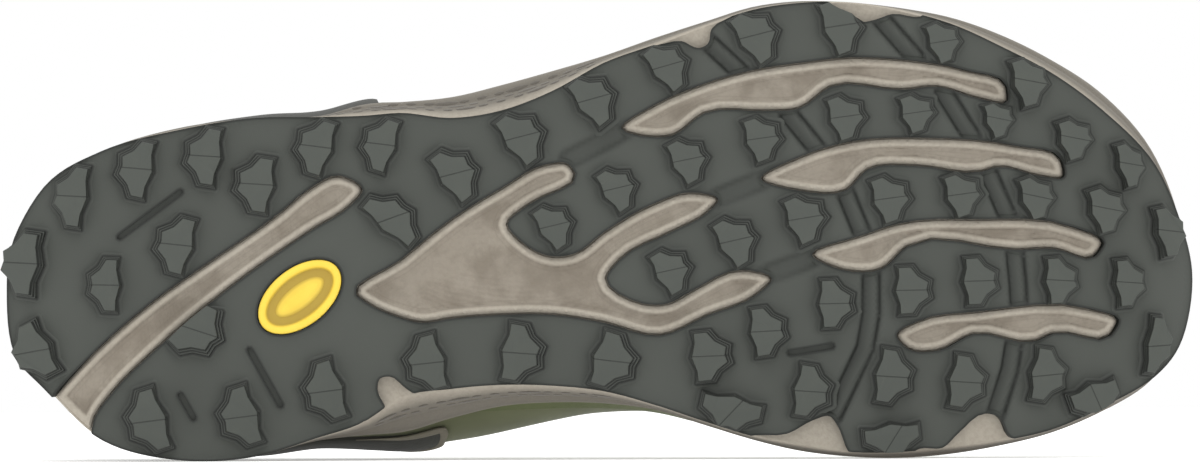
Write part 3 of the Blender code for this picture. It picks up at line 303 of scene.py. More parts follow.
ARCH_LINES = (
    (4.0, 6.2, 22.5, 0.99, HEEL_HEIGHT, 0.045, 0.19, 0.015, 0.19),
    (12.0, 12.5, 32.0, 0.91, HEEL_HEIGHT, 0.036, 0.19, 0.032, 0.18),
    (23.5, 21.5, 34.2, 0.81, HEEL_HEIGHT, 0.066, 0.18, 0.07, 0.14),
    (31.5, 30.0, 29.5, 0.825, HEEL_HEIGHT, 0.120, 0.18, 0.12, 0.13),
    (40.0, 38.5, 22.5, 1.00, INSTEP_HEIGHT, 0.180, 0.18, 0.14, 0.14),
    (50.0, 50.0, 16.5, 0.87, INSTEP_HEIGHT, 0.105, 0.17, 0.17, 0.09),
    (67.0, 60.0, 11.0, 0.755, INSTEP_HEIGHT, 0.01, 0.15, 0.24, 0.02),
    (81.0, 63.0, 7.0, 0.73, INSTEP_HEIGHT, 0.0, 0.14, 0.35, 0.04),
    (93.0, 64.2, 3.8, 0.72, INSTEP_HEIGHT, 0.0, 0.14, 0.44, 0.045),
)

# The tongue above the eyelets: x, height as a share of TONGUE_HEIGHT, half width and drop of
# its edges as shares of BALL_WIDTH
TONGUE_TOP = (
    (37.2, 0.85, 0.140, 0.035),
    (35.6, 0.92, 0.195, 0.055),
    (34.0, 0.97, 0.215, 0.065),
    (33.4, 1.00, 0.180, 0.050),
)

def hermite(knots, rows, at):
    """A smooth line through the rows, whose slope at a row is that of its neighbours."""
    knots = np.asarray(knots, float)
    rows = np.asarray(rows, float)
    slopes = np.gradient(rows, knots, axis=0)
    low = np.clip(np.searchsorted(knots, at, side="right") - 1, 0, len(knots) - 2)
    span = (knots[low + 1] - knots[low])[:, None]
    u = (at - knots[low])[:, None] / span
    start = (2 * u**3 - 3 * u**2 + 1) * rows[low] + (u**3 - 2 * u**2 + u) * span * slopes[low]
    end = (3 * u**2 - 2 * u**3) * rows[low + 1] + (u**3 - u**2) * span * slopes[low + 1]
    return start + end


def hermite_loop(knots, total, rows, at):
    """The same, round a closed loop."""
    knots = np.asarray(knots, float)
    rows = np.asarray(rows, float)
    round_knots = np.concatenate([knots[-3:] - total, knots, knots[:3] + total])
    round_rows = np.concatenate([rows[-3:], rows, rows[:3]])
    return hermite(round_knots, round_rows, np.asarray(at) % total)


def placed(x, y):
    return x / 100 * LENGTH, y / 100 * BALL_WIDTH


def smooth_polygon(points, per_side=1):
    """A closed smooth line through places on the sole."""
    corners = np.array([placed(x, y) for x, y in points])
    sides = np.linalg.norm(np.roll(corners, -1, axis=0) - corners, axis=1)
    knots = np.concatenate([[0], np.cumsum(sides)])
    at = np.concatenate([k + s * np.arange(per_side) / per_side for k, s in zip(knots, sides)])
    return hermite_loop(knots[:-1], knots[-1], corners, at)


def grown(points, distance):
    """A closed flat loop with each of its sides moved outward."""
    side = np.roll(points, -1, axis=0) - points
    normal = np.stack([side[:, 1], -side[:, 0]], axis=1)
    normal /= np.maximum(np.linalg.norm(normal, axis=1), 1e-9)[:, None]
    x, y = points[:, 0], points[:, 1]
    area = np.sum(x * np.roll(y, -1) - y * np.roll(x, -1))
    between = normal + np.roll(normal, 1, axis=0)
    between /= np.maximum(np.linalg.norm(between, axis=1), 1e-9)[:, None]
    stretch = np.maximum(np.sum(between * normal, axis=1), 0.35)[:, None]
    return points + between / stretch * math.copysign(distance, area * distance)


class Outline:
    """Both edges of the sole, under one measure that runs round from the heel and back."""

    def __init__(self):
        table = np.array(SOLE)
        x = table[:, 0] / 100 * LENGTH
        edges = table[:, 1:] / 100 * BALL_WIDTH
        heel = np.array(placed(*HEEL_TIP))
        toe = np.array(placed(*TOE_TIP))
        foam_toe = np.array(placed(*FOAM_TOE_TIP))
        self.rubber_rows = self.loop_rows(x, edges[:, 0], edges[:, 1], heel, toe)
        self.foam_rows = self.loop_rows(x, edges[:, 2], edges[:, 3], heel, foam_toe)
        count = len(x)
        steps = np.linalg.norm(np.diff(self.foam_rows, axis=0), axis=1)
        last = np.linalg.norm(self.foam_rows[0] - self.foam_rows[-1])
        around = np.concatenate([steps, [last]])
        pairs = (around[: count + 1] + around[count + 1 :][::-1]) / 2
        half = np.concatenate([[0], np.cumsum(pairs)])
        self.half_length = half[-1]
        self.total = 2 * self.half_length
        self.knots = np.concatenate([half, self.total - half[1:-1][::-1]])
        self.x_rows = np.concatenate([[heel[0]], x, [foam_toe[0]]])
        self.half_knots = half

    @staticmethod
    def loop_rows(x, outer, arch, heel, toe):
        outer_side = np.stack([x, outer], axis=1)
        arch_side = np.stack([x, arch], axis=1)
        return np.concatenate([[heel], outer_side, [toe], arch_side[::-1]])

    def rubber(self, at):
        return hermite_loop(self.knots, self.total, self.rubber_rows, at)

    def foam(self, at):
        return hermite_loop(self.knots, self.total, self.foam_rows, at)

    def measure(self, x_share, arch_side):
        """The measure at a share of the length, on one side."""
        along = np.interp(x_share / 100 * LENGTH, self.x_rows, self.half_knots)
        return self.total - along if arch_side else along


OUTLINE = Outline()


def rocker(x):
    """Height of the lugs' tops above the ground, and its slope."""
    spring = np.clip((x - SPRING_START) / (LENGTH - SPRING_START), 0, None)
    roll = np.clip((x - LENGTH + ROLL_LENGTH) / ROLL_LENGTH, 0, None)
    bevel = np.clip((BEVEL_LENGTH - x) / BEVEL_LENGTH, 0, None)
    height = TOE_SPRING * spring**2 + TOE_ROLL * roll**2 + HEEL_BEVEL * bevel**2
    slope = 2 * TOE_SPRING * spring / (LENGTH - SPRING_START)
    slope += 2 * TOE_ROLL * roll / ROLL_LENGTH
    slope -= 2 * HEEL_BEVEL * bevel / BEVEL_LENGTH
    return height, slope


def bent(flat):
    """Points of the flat tread, with Z above the lugs' tops, taken round the rocker of the sole."""
    flat = np.asarray(flat, float)
    height, slope = rocker(flat[:, 0])
    length = np.sqrt(1 + slope**2)
    above = flat[:, 2] - LUG_HEIGHT
    x = flat[:, 0] - above * slope / length
    z = height + LUG_HEIGHT + above / length
    return np.stack([x, flat[:, 1], z], axis=1)


def footbed(x):
    """Height of the foam under the insole."""
    share = np.clip((x / LENGTH - 0.22) / 0.46, 0, 1)
    ease = share * share * (3 - 2 * share)
    spring = np.clip((x - SPRING_START) / (LENGTH - SPRING_START), 0, None)
    return HEEL_STACK + (BALL_STACK - HEEL_STACK) * ease + 0.75 * TOE_SPRING * spring**2


def foot_of_upper(at):
    """Where the upper's outer face meets the rim of the midsole."""
    edge = OUTLINE.foam(at)
    step = OUTLINE.total / 400
    along = OUTLINE.foam(at + step) - OUTLINE.foam(at - step)
    normal = np.stack([along[:, 1], -along[:, 0]], axis=1)
    normal /= np.linalg.norm(normal, axis=1)[:, None]
    place = edge - normal * FEATHER_INSET
    height = footbed(place[:, 0]) + RIM_HEIGHT + GAP
    return np.concatenate([place, height[:, None]], axis=1), normal


def upper_rows():
    """The upper's table as closed rows: measure, opening point and handles, all in metres."""
    lines = [(0.0, HEEL_LINE)]
    lines += [(OUTLINE.measure(row[0], False), row) for row in OUTER_LINES]
    lines += [(OUTLINE.half_length, TOE_LINE)]
    lines += [(OUTLINE.measure(row[0], True), row) for row in reversed(ARCH_LINES)]
    knots = [at for at, _ in lines]
    rows = []
    for _, (_, x, y, share, height, lean, rise, reach, drop) in lines:
        handles = [value * BALL_WIDTH for value in (lean, rise, reach, drop)]
        rows.append([*placed(x, y), share * height, *handles])
    return knots, rows


UPPER_KNOTS, UPPER_TABLE = upper_rows()


def upper_point(at, share):
    """The upper's outer face: share 0 at its foot, 1 at the opening."""
    at = np.asarray(at, float)
    share = np.broadcast_to(np.asarray(share, float), at.shape)[:, None]
    foot, normal = foot_of_upper(at)
    rows = hermite_loop(UPPER_KNOTS, OUTLINE.total, UPPER_TABLE, at)
    opening, lean, rise, reach, drop = np.split(rows, (3, 4, 5, 6), axis=1)
    side = foot[:, :2] - opening[:, :2]
    side /= np.linalg.norm(side, axis=1)[:, None]
    low = foot + np.concatenate([normal * lean, rise], axis=1)
    high = opening + np.concatenate([side * reach, -drop], axis=1)
    rest = 1 - share
    return rest**3 * foot + 3 * rest**2 * share * low + 3 * rest * share**2 * high + share**3 * opening


def upper_frame(at, share):
    """The outer face with its outward normal and its direction toward the opening."""
    at = np.asarray(at, float)
    share = np.broadcast_to(np.asarray(share, float), at.shape)
    step = OUTLINE.total / 600
    around = upper_point(at + step, share) - upper_point(at - step, share)
    low = np.clip(share - 0.01, 0, 1)
    high = np.clip(share + 0.01, 0, 1)
    up = upper_point(at, high) - upper_point(at, low)
    up /= np.linalg.norm(up, axis=1)[:, None]
    normal = np.cross(around, up)
    normal /= np.linalg.norm(normal, axis=1)[:, None]
    return upper_point(at, share), normal, up


def upper_length(at):
    """Length of the line from the foot to the opening."""
    shares = np.linspace(0, 1, 21)
    line = np.array([upper_point(at, share) for share in shares])
    return np.sum(np.linalg.norm(np.diff(line, axis=0), axis=2), axis=0)


def wall_thickness(at, share):
    """The wall of the upper, with the pad round the collar."""
    x = upper_point(at, 1.0)[:, 0] / LENGTH
    collar = np.clip((0.37 - x) / 0.10, 0, 1)
    pad = np.clip((share - 0.5) / 0.3, 0, 1)
    ease = pad * pad * (3 - 2 * pad)
    return WALL + (COLLAR_PAD - WALL) * collar * ease
# How fine the dressed shoe is
STATIONS = 136
LOOP_STEP = 0.0006
SHELL_ROWS = 44
AROUND = OUTLINE.total * np.arange(2 * STATIONS) / (2 * STATIONS)
RUBBER_FACE = LUG_HEIGHT
FOAM_FACE = LUG_HEIGHT + ISLAND_RECESS
PLATE_BACK = LUG_HEIGHT + RUBBER

# Flex grooves of the tread, as centre lines, and how wide and deep they are in metres
GROOVE_HALF = 0.0026
GROOVE_DEPTH = 0.0011
GROOVES = (
    ((58.4, -46.5), (61.8, -38.3)),
    ((65.6, -29.8), (68.2, -21.6)),
    ((70.4, -12.8), (71.8, -4.0)),
    ((72.6, 5.2), (72.6, 13.9), (72.1, 21.3), (69.4, 36.0)),
    ((73.0, -51.5), (76.4, -41.6)),
    ((78.7, -34.4), (81.1, -24.6)),
    ((82.4, -17.4), (84.2, -6.9)),
    ((84.7, -0.2), (85.0, 7.6), (85.1, 12.8)),
    ((84.7, 19.6), (84.3, 26.1), (83.0, 36.4)),
)
TROUGH_HALF = 0.0030
TROUGH_DEPTH = 0.0011
TROUGHS = (
    ((47.2, -19.6), (52.2, -26.4)),
    ((59.6, -11.2), (63.6, -15.4)),
    ((63.6, 5.6), (67.8, 1.6)),
)

# A lug from its foot to its top: share of the way from the foot's outline to the top's, and
# height above the ground as a share of LUG_HEIGHT. The skirt's two rings lie outside the foot.
LUG_RINGS = (
    (-0.42, 1.04), (-0.30, 0.985), (0.00, 0.90), (0.08, 0.66), (0.36, 0.63), (0.43, 0.39),
    (0.68, 0.36), (0.76, 0.09), (0.84, 0.02), (1.00, 0.00),
)


def in_metres(points):
    return np.array([placed(x, y) for x, y in points])


def dense(points, closed, step):
    """A line's points again, evenly spaced."""
    line = np.concatenate([points, points[:1]]) if closed else points
    run = np.concatenate([[0], np.cumsum(np.linalg.norm(np.diff(line, axis=0), axis=1))])
    count = max(int(run[-1] / step), 3)
    at = np.linspace(0, run[-1], count + 1)
    if closed:
        at = at[:-1]
    return np.stack([np.interp(at, run, line[:, i]) for i in (0, 1)], axis=1)


def distance_to(points, lines, closed=True):
    """The least distance from each flat point to any of the lines."""
    marks = np.concatenate([dense(line, closed, 0.0001) for line in lines])
    tree = KDTree(len(marks))
    for i, mark in enumerate(marks):
        tree.insert((*mark, 0), i)
    tree.balance()
    return np.array([tree.find((*point, 0))[2] for point in points])


def distance_to_loops(points, loops):
    return distance_to(points, loops)


def distance_to_paths(points, paths):
    return distance_to(points, [in_metres(path) for path in paths], closed=False)


def inside_loops(points, loops):
    """True where a flat point lies inside an odd number of the loops."""
    inside = np.zeros(len(points), bool)
    order = np.argsort(points[:, 1])
    x, y = points[order].T
    for loop in loops:
        for (x0, y0), (x1, y1) in zip(loop, np.roll(loop, -1, axis=0)):
            low, high = np.searchsorted(y, (min(y0, y1), max(y0, y1)))
            if high > low:
                line = (x1 - x0) * (y[low:high] - y0) / (y1 - y0) + x0
                inside[order[low:high]] ^= x[low:high] < line
    return inside


def ease(value, start, end):
    share = np.clip((value - start) / (end - start), 0, 1)
    return share * share * (3 - 2 * share)


def face_loops(flat, height):
    """The closed border lines of a flat solid's face at a height."""
    shape = bmesh.new()
    shape.from_mesh(flat.data)
    low = {face for face in shape.faces if all(abs(v.co.z - height) < 1e-6 for v in face.verts)}
    after = {}
    for face in low:
        for loop in face.loops:
            if sum(other in low for other in loop.edge.link_faces) == 1:
                after.setdefault(loop.vert, []).append(loop.link_loop_next.vert)
    loops = []
    while after:
        start = next(iter(after))
        line = [start]
        while line[-1] in after:
            ways = after[line[-1]]
            following = ways.pop()
            if not ways:
                del after[line[-1]]
            if following is start:
                break
            line.append(following)
        if len(line) > 2:
            loops.append(np.array([v.co.xy for v in line]))
    shape.free()
    return [dense(loop, True, LOOP_STEP) for loop in loops]


def spread(loops, spacing, near, offsets):
    """Flat points inside the loops: a grid, and rows beside the loops."""
    corners = np.concatenate(loops)
    low, high = corners.min(axis=0), corners.max(axis=0)
    rows = np.arange(low[1], high[1], spacing * 0.866)
    cols = np.arange(low[0], high[0], spacing)
    grid = np.array([(x + (k % 2) * spacing / 2, y) for k, y in enumerate(rows) for x in cols])
    grid = grid[inside_loops(grid, loops)]
    grid = grid[distance_to_loops(grid, loops) > near]
    rows = [grid]
    for offset in offsets:
        for loop in loops:
            for way in (offset, -offset):
                beside = grown(loop, way)
                beside = beside[inside_loops(beside, loops)]
                beside = beside[distance_to_loops(beside, loops) > offset * 0.93]
                rows.append(beside)
    return np.concatenate(rows)


def relief(name, loops, spacing, near, offsets, height, back, extra=()):
    """A plate between the loops whose face has a height at each place, closed at its back."""
    points = np.concatenate([spread(loops, spacing, near, offsets), *extra])
    borders = np.concatenate(loops)
    edges = []
    first = 0
    for loop in loops:
        edges += [(first + i, first + (i + 1) % len(loop)) for i in range(len(loop))]
        first += len(loop)
    places = [Vector(p * 1000) for p in np.concatenate([borders, points])]
    verts, _, faces, *_ = delaunay_2d_cdt(places, edges, [], 0, 1e-4)
    flat = np.array([v[:] for v in verts]) / 1000
    middle = np.array([flat[list(face)].mean(axis=0) for face in faces])
    keep = inside_loops(middle, loops)
    used = [tuple(face) for face, kept in zip(faces, keep) if kept]
    z = height(flat)
    shape = bmesh.new()
    face_verts = [shape.verts.new((*place, h)) for place, h in zip(flat, z)]
    for face in used:
        shape.faces.new([face_verts[i] for i in face])
    border = [edge for edge in shape.edges if len(edge.link_faces) == 1]
    made = bmesh.ops.extrude_edge_only(shape, edges=border)
    for item in made["geom"]:
        if isinstance(item, bmesh.types.BMVert):
            item.co.z = back
    rim = [item for item in made["geom"] if isinstance(item, bmesh.types.BMEdge)]
    rim = [edge for edge in rim if len(edge.link_faces) == 1]
    corners = list(dict.fromkeys(v for edge in rim for v in edge.verts))
    place_of = {v: i for i, v in enumerate(corners)}
    sides = [(place_of[edge.verts[0]], place_of[edge.verts[1]]) for edge in rim]
    found, _, caps, came, *_ = delaunay_2d_cdt([v.co.xy * 1000 for v in corners], sides, [], 0, 1e-4)
    found = np.array([v[:] for v in found]) / 1000
    middle = np.array([found[list(cap)].mean(axis=0) for cap in caps])
    for cap, kept in zip(caps, inside_loops(middle, loops)):
        if kept:
            shape.faces.new([corners[came[i][0]] for i in cap])
    loose = [v for v in shape.verts if not v.link_faces]
    bmesh.ops.delete(shape, geom=loose, context="VERTS")
    bmesh.ops.recalc_face_normals(shape, faces=shape.faces)
    mesh = bpy.data.meshes.new(name)
    shape.to_mesh(mesh)
    shape.free()
    return bpy.data.objects.new(name, mesh)
def tread_height(flat):
    """The rubber's face: lips beside its openings, flex grooves and soft troughs."""
    to_edge = distance_to_loops(flat, PLATE_LOOPS)
    lip = -0.00030 * (1 - ease(to_edge, 0.0004, 0.0010))
    groove = distance_to_paths(flat, GROOVES)
    sunk = GROOVE_DEPTH * (1 - ease(groove, GROOVE_HALF - 0.0009, GROOVE_HALF))
    bank = -0.00020 * ease(groove, GROOVE_HALF, GROOVE_HALF + 0.0004)
    bank = bank * (1 - ease(groove, GROOVE_HALF + 0.0006, GROOVE_HALF + 0.0030))
    trough = distance_to_paths(flat, TROUGHS)
    soft = TROUGH_DEPTH * (1 - ease(trough, TROUGH_HALF * 0.40, TROUGH_HALF))
    inland = ease(to_edge, 0.0005, 0.0012)
    return RUBBER_FACE + lip + np.maximum(sunk + bank, soft) * (0.35 + 0.65 * inland)
SCENE = bpy.context.scene.collection


def mesh_object(name, mesh_builder):
    """A closed mesh object, its faces turned outward."""
    shape = bmesh.new()
    mesh_builder(shape)
    bmesh.ops.recalc_face_normals(shape, faces=shape.faces)
    mesh = bpy.data.meshes.new(name)
    shape.to_mesh(mesh)
    shape.free()
    return bpy.data.objects.new(name, mesh)


def loft(shape, rings, closed=True, caps=False, uv=None):
    """Faces between rows of points. uv gives the pattern's place of a row and a column."""
    rows = [[shape.verts.new(point) for point in ring] for ring in rings]
    layer = shape.loops.layers.uv.verify() if uv else None
    for k, (row, following) in enumerate(zip(rows, rows[1:])):
        count = len(row)
        for i in range(count if closed else count - 1):
            j = (i + 1) % count
            face = shape.faces.new((row[i], row[j], following[j], following[i]))
            if uv:
                for loop, (a, b) in zip(face.loops, ((k, i), (k, i + 1), (k + 1, i + 1), (k + 1, i))):
                    loop[layer].uv = uv(a, b)
    if caps:
        shape.faces.new(rows[0])
        shape.faces.new(rows[-1])
    return rows


def ladder(shape, row):
    """A cap across a ring of the sole, in strips from side to side."""
    count = len(row)
    for i in range(count // 2):
        corners = [row[i], row[i + 1], row[(count - i - 1) % count], row[(count - i) % count]]
        shape.faces.new(list(dict.fromkeys(corners)))


def made_plain(source):
    """The evaluated mesh of an object, with the object removed."""
    bpy.context.view_layer.update()
    depsgraph = bpy.context.evaluated_depsgraph_get()
    mesh = bpy.data.meshes.new_from_object(source.evaluated_get(depsgraph))
    bpy.data.objects.remove(source)
    return mesh


def boolean(target, cutter, operation):
    for piece in (target, cutter):
        if piece.name not in SCENE.objects:
            SCENE.objects.link(piece)
    change = target.modifiers.new(operation, "BOOLEAN")
    change.operation = operation
    change.object = cutter
    name = target.name
    mesh = made_plain(target)
    bpy.data.objects.remove(cutter)
    return bpy.data.objects.new(name, mesh)


def prism(name, loops, low, high):
    """A flat outline with its holes, as a solid between two heights."""
    curve = bpy.data.curves.new(name, "CURVE")
    curve.dimensions = "2D"
    curve.fill_mode = "BOTH"
    curve.extrude = (high - low) / 2
    for points in loops:
        spline = curve.splines.new("POLY")
        spline.points.add(len(points) - 1)
        for corner, (x, y) in zip(spline.points, points):
            corner.co = (x, y, 0, 1)
        spline.use_cyclic_u = True
    flat = bpy.data.objects.new(name, curve)
    SCENE.objects.link(flat)
    mesh = made_plain(flat)
    mesh.transform(Matrix.Translation((0, 0, (high + low) / 2)))
    shape = bmesh.new()
    shape.from_mesh(mesh)
    bmesh.ops.remove_doubles(shape, verts=shape.verts, dist=1e-7)
    bmesh.ops.recalc_face_normals(shape, faces=shape.faces)
    shape.to_mesh(mesh)
    shape.free()
    return bpy.data.objects.new(name, mesh)


def ellipse(x, y, length, width, turn, count=72):
    turn = math.radians(turn)
    angle = 2 * math.pi * np.arange(count) / count
    u, v = length / 2 * np.cos(angle), width / 2 * np.sin(angle)
    return np.stack([
        x + u * math.cos(turn) - v * math.sin(turn),
        y + u * math.sin(turn) + v * math.cos(turn),
    ], axis=1)


def slot(x0, y0, x1, y1, width=SLOT_WIDTH):
    """A narrow opening with rounded ends."""
    start, end = np.array(placed(x0, y0)), np.array(placed(x1, y1))
    along = (end - start) / np.linalg.norm(end - start)
    across = np.array((-along[1], along[0]))
    points = []
    for middle, way in ((end, 1), (start, -1)):
        for angle in range(-90, 91, 20):
            turn = math.radians(angle)
            offset = (along * math.cos(turn) + across * math.sin(turn)) * way
            points.append(middle + offset * width / 2)
    return np.array(points)


def inlay_hole(grow):
    x, y = placed(*INLAY_PLACE)
    wide = 2 * (grow + GAP)
    return ellipse(x, y, INLAY_LENGTH + wide, INLAY_WIDTH + wide, INLAY_TURN)


def tread_prism(name, grow, low, high):
    """The rubber's plate with every opening, its edges drawn back by a distance."""
    edge = grown(OUTLINE.rubber(AROUND), -grow)
    holes = [grown(smooth_polygon(points, 4), grow) for points in OPENINGS]
    holes += [grown(slot(*ends), grow) for ends in SLOTS]
    holes.append(inlay_hole(grow))
    plate = prism(name, [edge, *holes], low, high)
    for points in (HEEL_GROOVE, *NOTCHES):
        cut = prism("notch", [grown(smooth_polygon(points, 4), grow)], low - 0.001, high + 0.001)
        plate = boolean(plate, cut, "DIFFERENCE")
    return plate


def bend(piece):
    """Takes a flat piece of the tread round the rocker."""
    mesh = piece.data
    flat = np.zeros(len(mesh.vertices) * 3)
    mesh.vertices.foreach_get("co", flat)
    mesh.vertices.foreach_set("co", bent(flat.reshape(-1, 3)).ravel())
    mesh.update()
    return piece


def joined(name, pieces):
    shape = bmesh.new()
    for piece in pieces:
        shape.from_mesh(piece.data)
        bpy.data.objects.remove(piece)
    mesh = bpy.data.meshes.new(name)
    shape.to_mesh(mesh)
    shape.free()
    return bpy.data.objects.new(name, mesh)


def point_values(piece, name, values):
    """Keeps one number or three for each vertex, for the materials."""
    values = np.asarray(values, np.float32)
    kind, key = ("FLOAT", "value") if values.ndim == 1 else ("FLOAT_VECTOR", "vector")
    made = piece.data.attributes.new(name, kind, "POINT")
    made.data.foreach_set(key, values.ravel())


def coordinates(piece):
    flat = np.zeros(len(piece.data.vertices) * 3)
    piece.data.vertices.foreach_get("co", flat)
    return flat.reshape(-1, 3)


def place(piece, finish, *nodes, sharp=35):
    """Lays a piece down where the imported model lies, and gives it its finish."""
    mesh = piece.data
    mesh.transform(LYING)
    mesh.materials.clear()
    mesh.materials.append(FINISHES[finish])
    mesh.shade_smooth()
    mesh.set_sharp_from_angle(angle=math.radians(sharp))
    if piece.name not in SCENE.objects:
        SCENE.objects.link(piece)
    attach(piece, "root")
    if nodes:
        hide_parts(*nodes)
    return piece


# Tread


def lug_outlines(x, y, turn, long, wide, way):
    """The foot and the top of one lug, with small rounded corners."""
    place = np.array(placed(x, y))
    turn = math.radians(turn)
    along = np.array((math.sin(turn), math.cos(turn))) * long * LUG_LENGTH / 2
    across = np.array((math.cos(turn), -math.sin(turn))) * way * wide * LUG_WIDTH / 2
    half = np.array(LUG_SHAPE)
    whole = np.concatenate([half, half[1:-1][::-1] * (-1, 1, -1, 1)])
    before, after = np.roll(whole, 1, axis=0), np.roll(whole, -1, axis=0)
    parts = []
    for near, far in ((before, 0.10), (before, 0.03), (after, 0.03), (after, 0.10)):
        parts.append(whole + (near - whole) * far)
    rounded = np.stack(parts, axis=1).reshape(-1, 4)
    rounded = np.concatenate([rounded[2:], rounded[:2]])
    foot = place + rounded[:, :1] * along + rounded[:, 1:2] * across
    top = place + rounded[:, 2:3] * along + rounded[:, 3:] * across
    return foot, top


def lug_places(points):
    """The lug that each flat point belongs to, as the place within it: from its crease, across."""
    best = np.full(len(points), 9.0)
    inside = np.zeros((len(points), 2))
    for x, y, turn, long, wide, way in LUGS:
        share = -0.6 if x > 82 else 0.4 if abs(turn) < 60 else 0.6
        crease = math.radians(turn * share)
        turn = math.radians(turn)
        gap = points - placed(x, y)
        u = (gap @ (math.sin(turn), math.cos(turn))) / (long * LUG_LENGTH / 2)
        v = way * (gap @ (math.cos(turn), -math.sin(turn))) / (wide * LUG_WIDTH / 2)
        size = np.hypot(u, v)
        nearer = size < best
        best = np.where(nearer, size, best)
        off = (gap @ (math.sin(crease), math.cos(crease))) / (long * LUG_LENGTH / 2)
        inside[nearer] = np.stack([off, v], axis=1)[nearer]
    return inside


def lug_solid(shape, row):
    foot, top = lug_outlines(*row)
    middle = np.array(placed(*row[:2]))
    rings = []
    for share, height in LUG_RINGS:
        ring = foot + (top - foot) * share
        if share < 0:
            ring = grown(foot, -share * 0.0030)
        ring = held_inside(ring, middle)
        rings.append(np.concatenate([ring, np.full((len(ring), 1), height * LUG_HEIGHT)], axis=1))
    loft(shape, rings, caps=True)


def held_inside(ring, middle):
    """Draws the points that lie off the rubber toward the middle, as far as its edge."""
    if inside_loops(ring, PLATE_LOOPS).all():
        return ring
    steps = np.linspace(1, 0, 61)
    line = middle + steps[:, None, None] * (ring - middle)
    off = ~inside_loops(line.reshape(-1, 2), PLATE_LOOPS).reshape(line.shape[:2])
    first = np.array([np.nonzero(column)[0][-1] + 1 if column.any() else 0 for column in off.T])
    first = np.minimum(first, 60)
    return line[first, np.arange(len(ring))]


def halo(flat, feet):
    """Soft shade beside the lugs' feet, wider on their heel side."""
    to_foot = distance_to_loops(flat + (0.0006, 0.0), feet)
    return np.exp(-((to_foot / 0.0010) ** 1.2))


def make_tread():
    plate = relief(
        "plate", PLATE_LOOPS, 0.0010, 0.0016, (0.0003, 0.0007, 0.0012),
        tread_height, PLATE_BACK, extra=groove_rows(),
    )
    lugs = mesh_object("lugs", lambda shape: [lug_solid(shape, row) for row in LUGS])
    flat = coordinates(lugs)
    inside = lug_places(flat[:, :2])
    height = 1 - flat[:, 2] / LUG_HEIGHT
    point_values(lugs, "lug", np.concatenate([inside, height[:, None]], axis=1))
    feet = [lug_outlines(*row)[0] for row in LUGS]
    around = 0.60 * halo(flat[:, :2], feet)
    point_values(lugs, "dark", np.where(height < 0.08, around, 0.0))
    spots = coordinates(plate)[:, :2]
    to_edge = distance_to_loops(spots, PLATE_LOOPS)
    groove = distance_to_paths(spots, GROOVES)
    trough = distance_to_paths(spots, TROUGHS)
    one_sided = distance_to_paths(spots + (0.0015, 0.0), GROOVES)
    shades = [
        1 - ease(to_edge, 0.0002, 0.0007),
        0.30 * np.exp(-to_edge / 0.0016),
        np.exp(-((groove - GROOVE_HALF + 0.0005) / 0.0007) ** 2),
        0.60 * (1 - ease(one_sided, 0.0, GROOVE_HALF)) * (groove < GROOVE_HALF),
        0.50 * np.exp(-((trough - TROUGH_HALF + 0.0009) / 0.0009) ** 2),
        0.25 * (1 - ease(trough, TROUGH_HALF * 0.6, TROUGH_HALF)),
        0.60 * halo(spots, feet),
    ]
    point_values(plate, "dark", np.max(shades, axis=0))
    pieces = [plate, lugs]
    # A sheet under each slot, darkened by 0.3: painted shade at the bottom of the narrow slot
    for ends in SLOTS:
        low, high = LUG_HEIGHT + 0.0006, LUG_HEIGHT + 0.0010
        floor = prism("slot_shade_sheet", [grown(slot(*ends), 0.0002)], low, high)
        point_values(floor, "dark", np.full(len(floor.data.vertices), 0.3))
        pieces.append(floor)
    return bend(joined("tread", pieces))


def groove_rows():
    """Flat points along both edges of every flex groove, inside the plate."""
    rows = []
    for path in GROOVES:
        line = in_metres(path)
        steps = np.linalg.norm(np.diff(line, axis=0), axis=1)
        knots = np.concatenate([[0], np.cumsum(steps)])
        at = np.arange(0, knots[-1], 0.0009)
        spots = np.stack([np.interp(at, knots, line[:, i]) for i in (0, 1)], axis=1)
        way = np.gradient(spots, axis=0)
        way /= np.linalg.norm(way, axis=1)[:, None]
        side = np.stack([-way[:, 1], way[:, 0]], axis=1)
        for off in (-0.0028, -0.0024, -0.00205, -0.0017, 0.0017, 0.00205, 0.0024, 0.0028):
            rows.append(spots + side * off)
    rows = np.concatenate(rows)
    rows = rows[inside_loops(rows, PLATE_LOOPS)]
    return [rows[distance_to_loops(rows, PLATE_LOOPS) > 0.0017]]


PLATE_LOOPS = face_loops(tread_prism("plate", 0.0, RUBBER_FACE, PLATE_BACK), RUBBER_FACE)


# Finishes


class Reading:
    """What a socket gives, to reckon with."""

    def __init__(self, finish, socket):
        self.finish = finish
        self.socket = socket

    def maths(self, operation, *others):
        values = dict(enumerate((self, *others)))
        return self.finish.make("ShaderNodeMath", {"operation": operation}, values)

    def __add__(self, other):
        return self.maths("ADD", other)

    __radd__ = __add__

    def __mul__(self, other):
        return self.maths("MULTIPLY", other)

    __rmul__ = __mul__

    def __sub__(self, other):
        return self.maths("SUBTRACT", other)

    def __rsub__(self, other):
        return self * -1 + other

    def __truediv__(self, other):
        return self.maths("DIVIDE", other)

    def __rtruediv__(self, other):
        return self.maths("POWER", -1) * other

    def __abs__(self):
        return self.maths("ABSOLUTE")

    def sine(self):
        return self.maths("SINE")

    def part(self):
        return self.maths("FRACT")

    def highest(self, other):
        return self.maths("MAXIMUM", other)

    def between(self, low, high):
        """0 below low, 1 above high, smooth between."""
        settings = {"interpolation_type": "SMOOTHSTEP", "clamp": True}
        values = {"Value": self, "From Min": low, "From Max": high}
        if low > high:
            values = {"Value": self, "From Min": high, "From Max": low, "To Min": 1.0, "To Max": 0.0}
        return self.finish.make("ShaderNodeMapRange", settings, values)


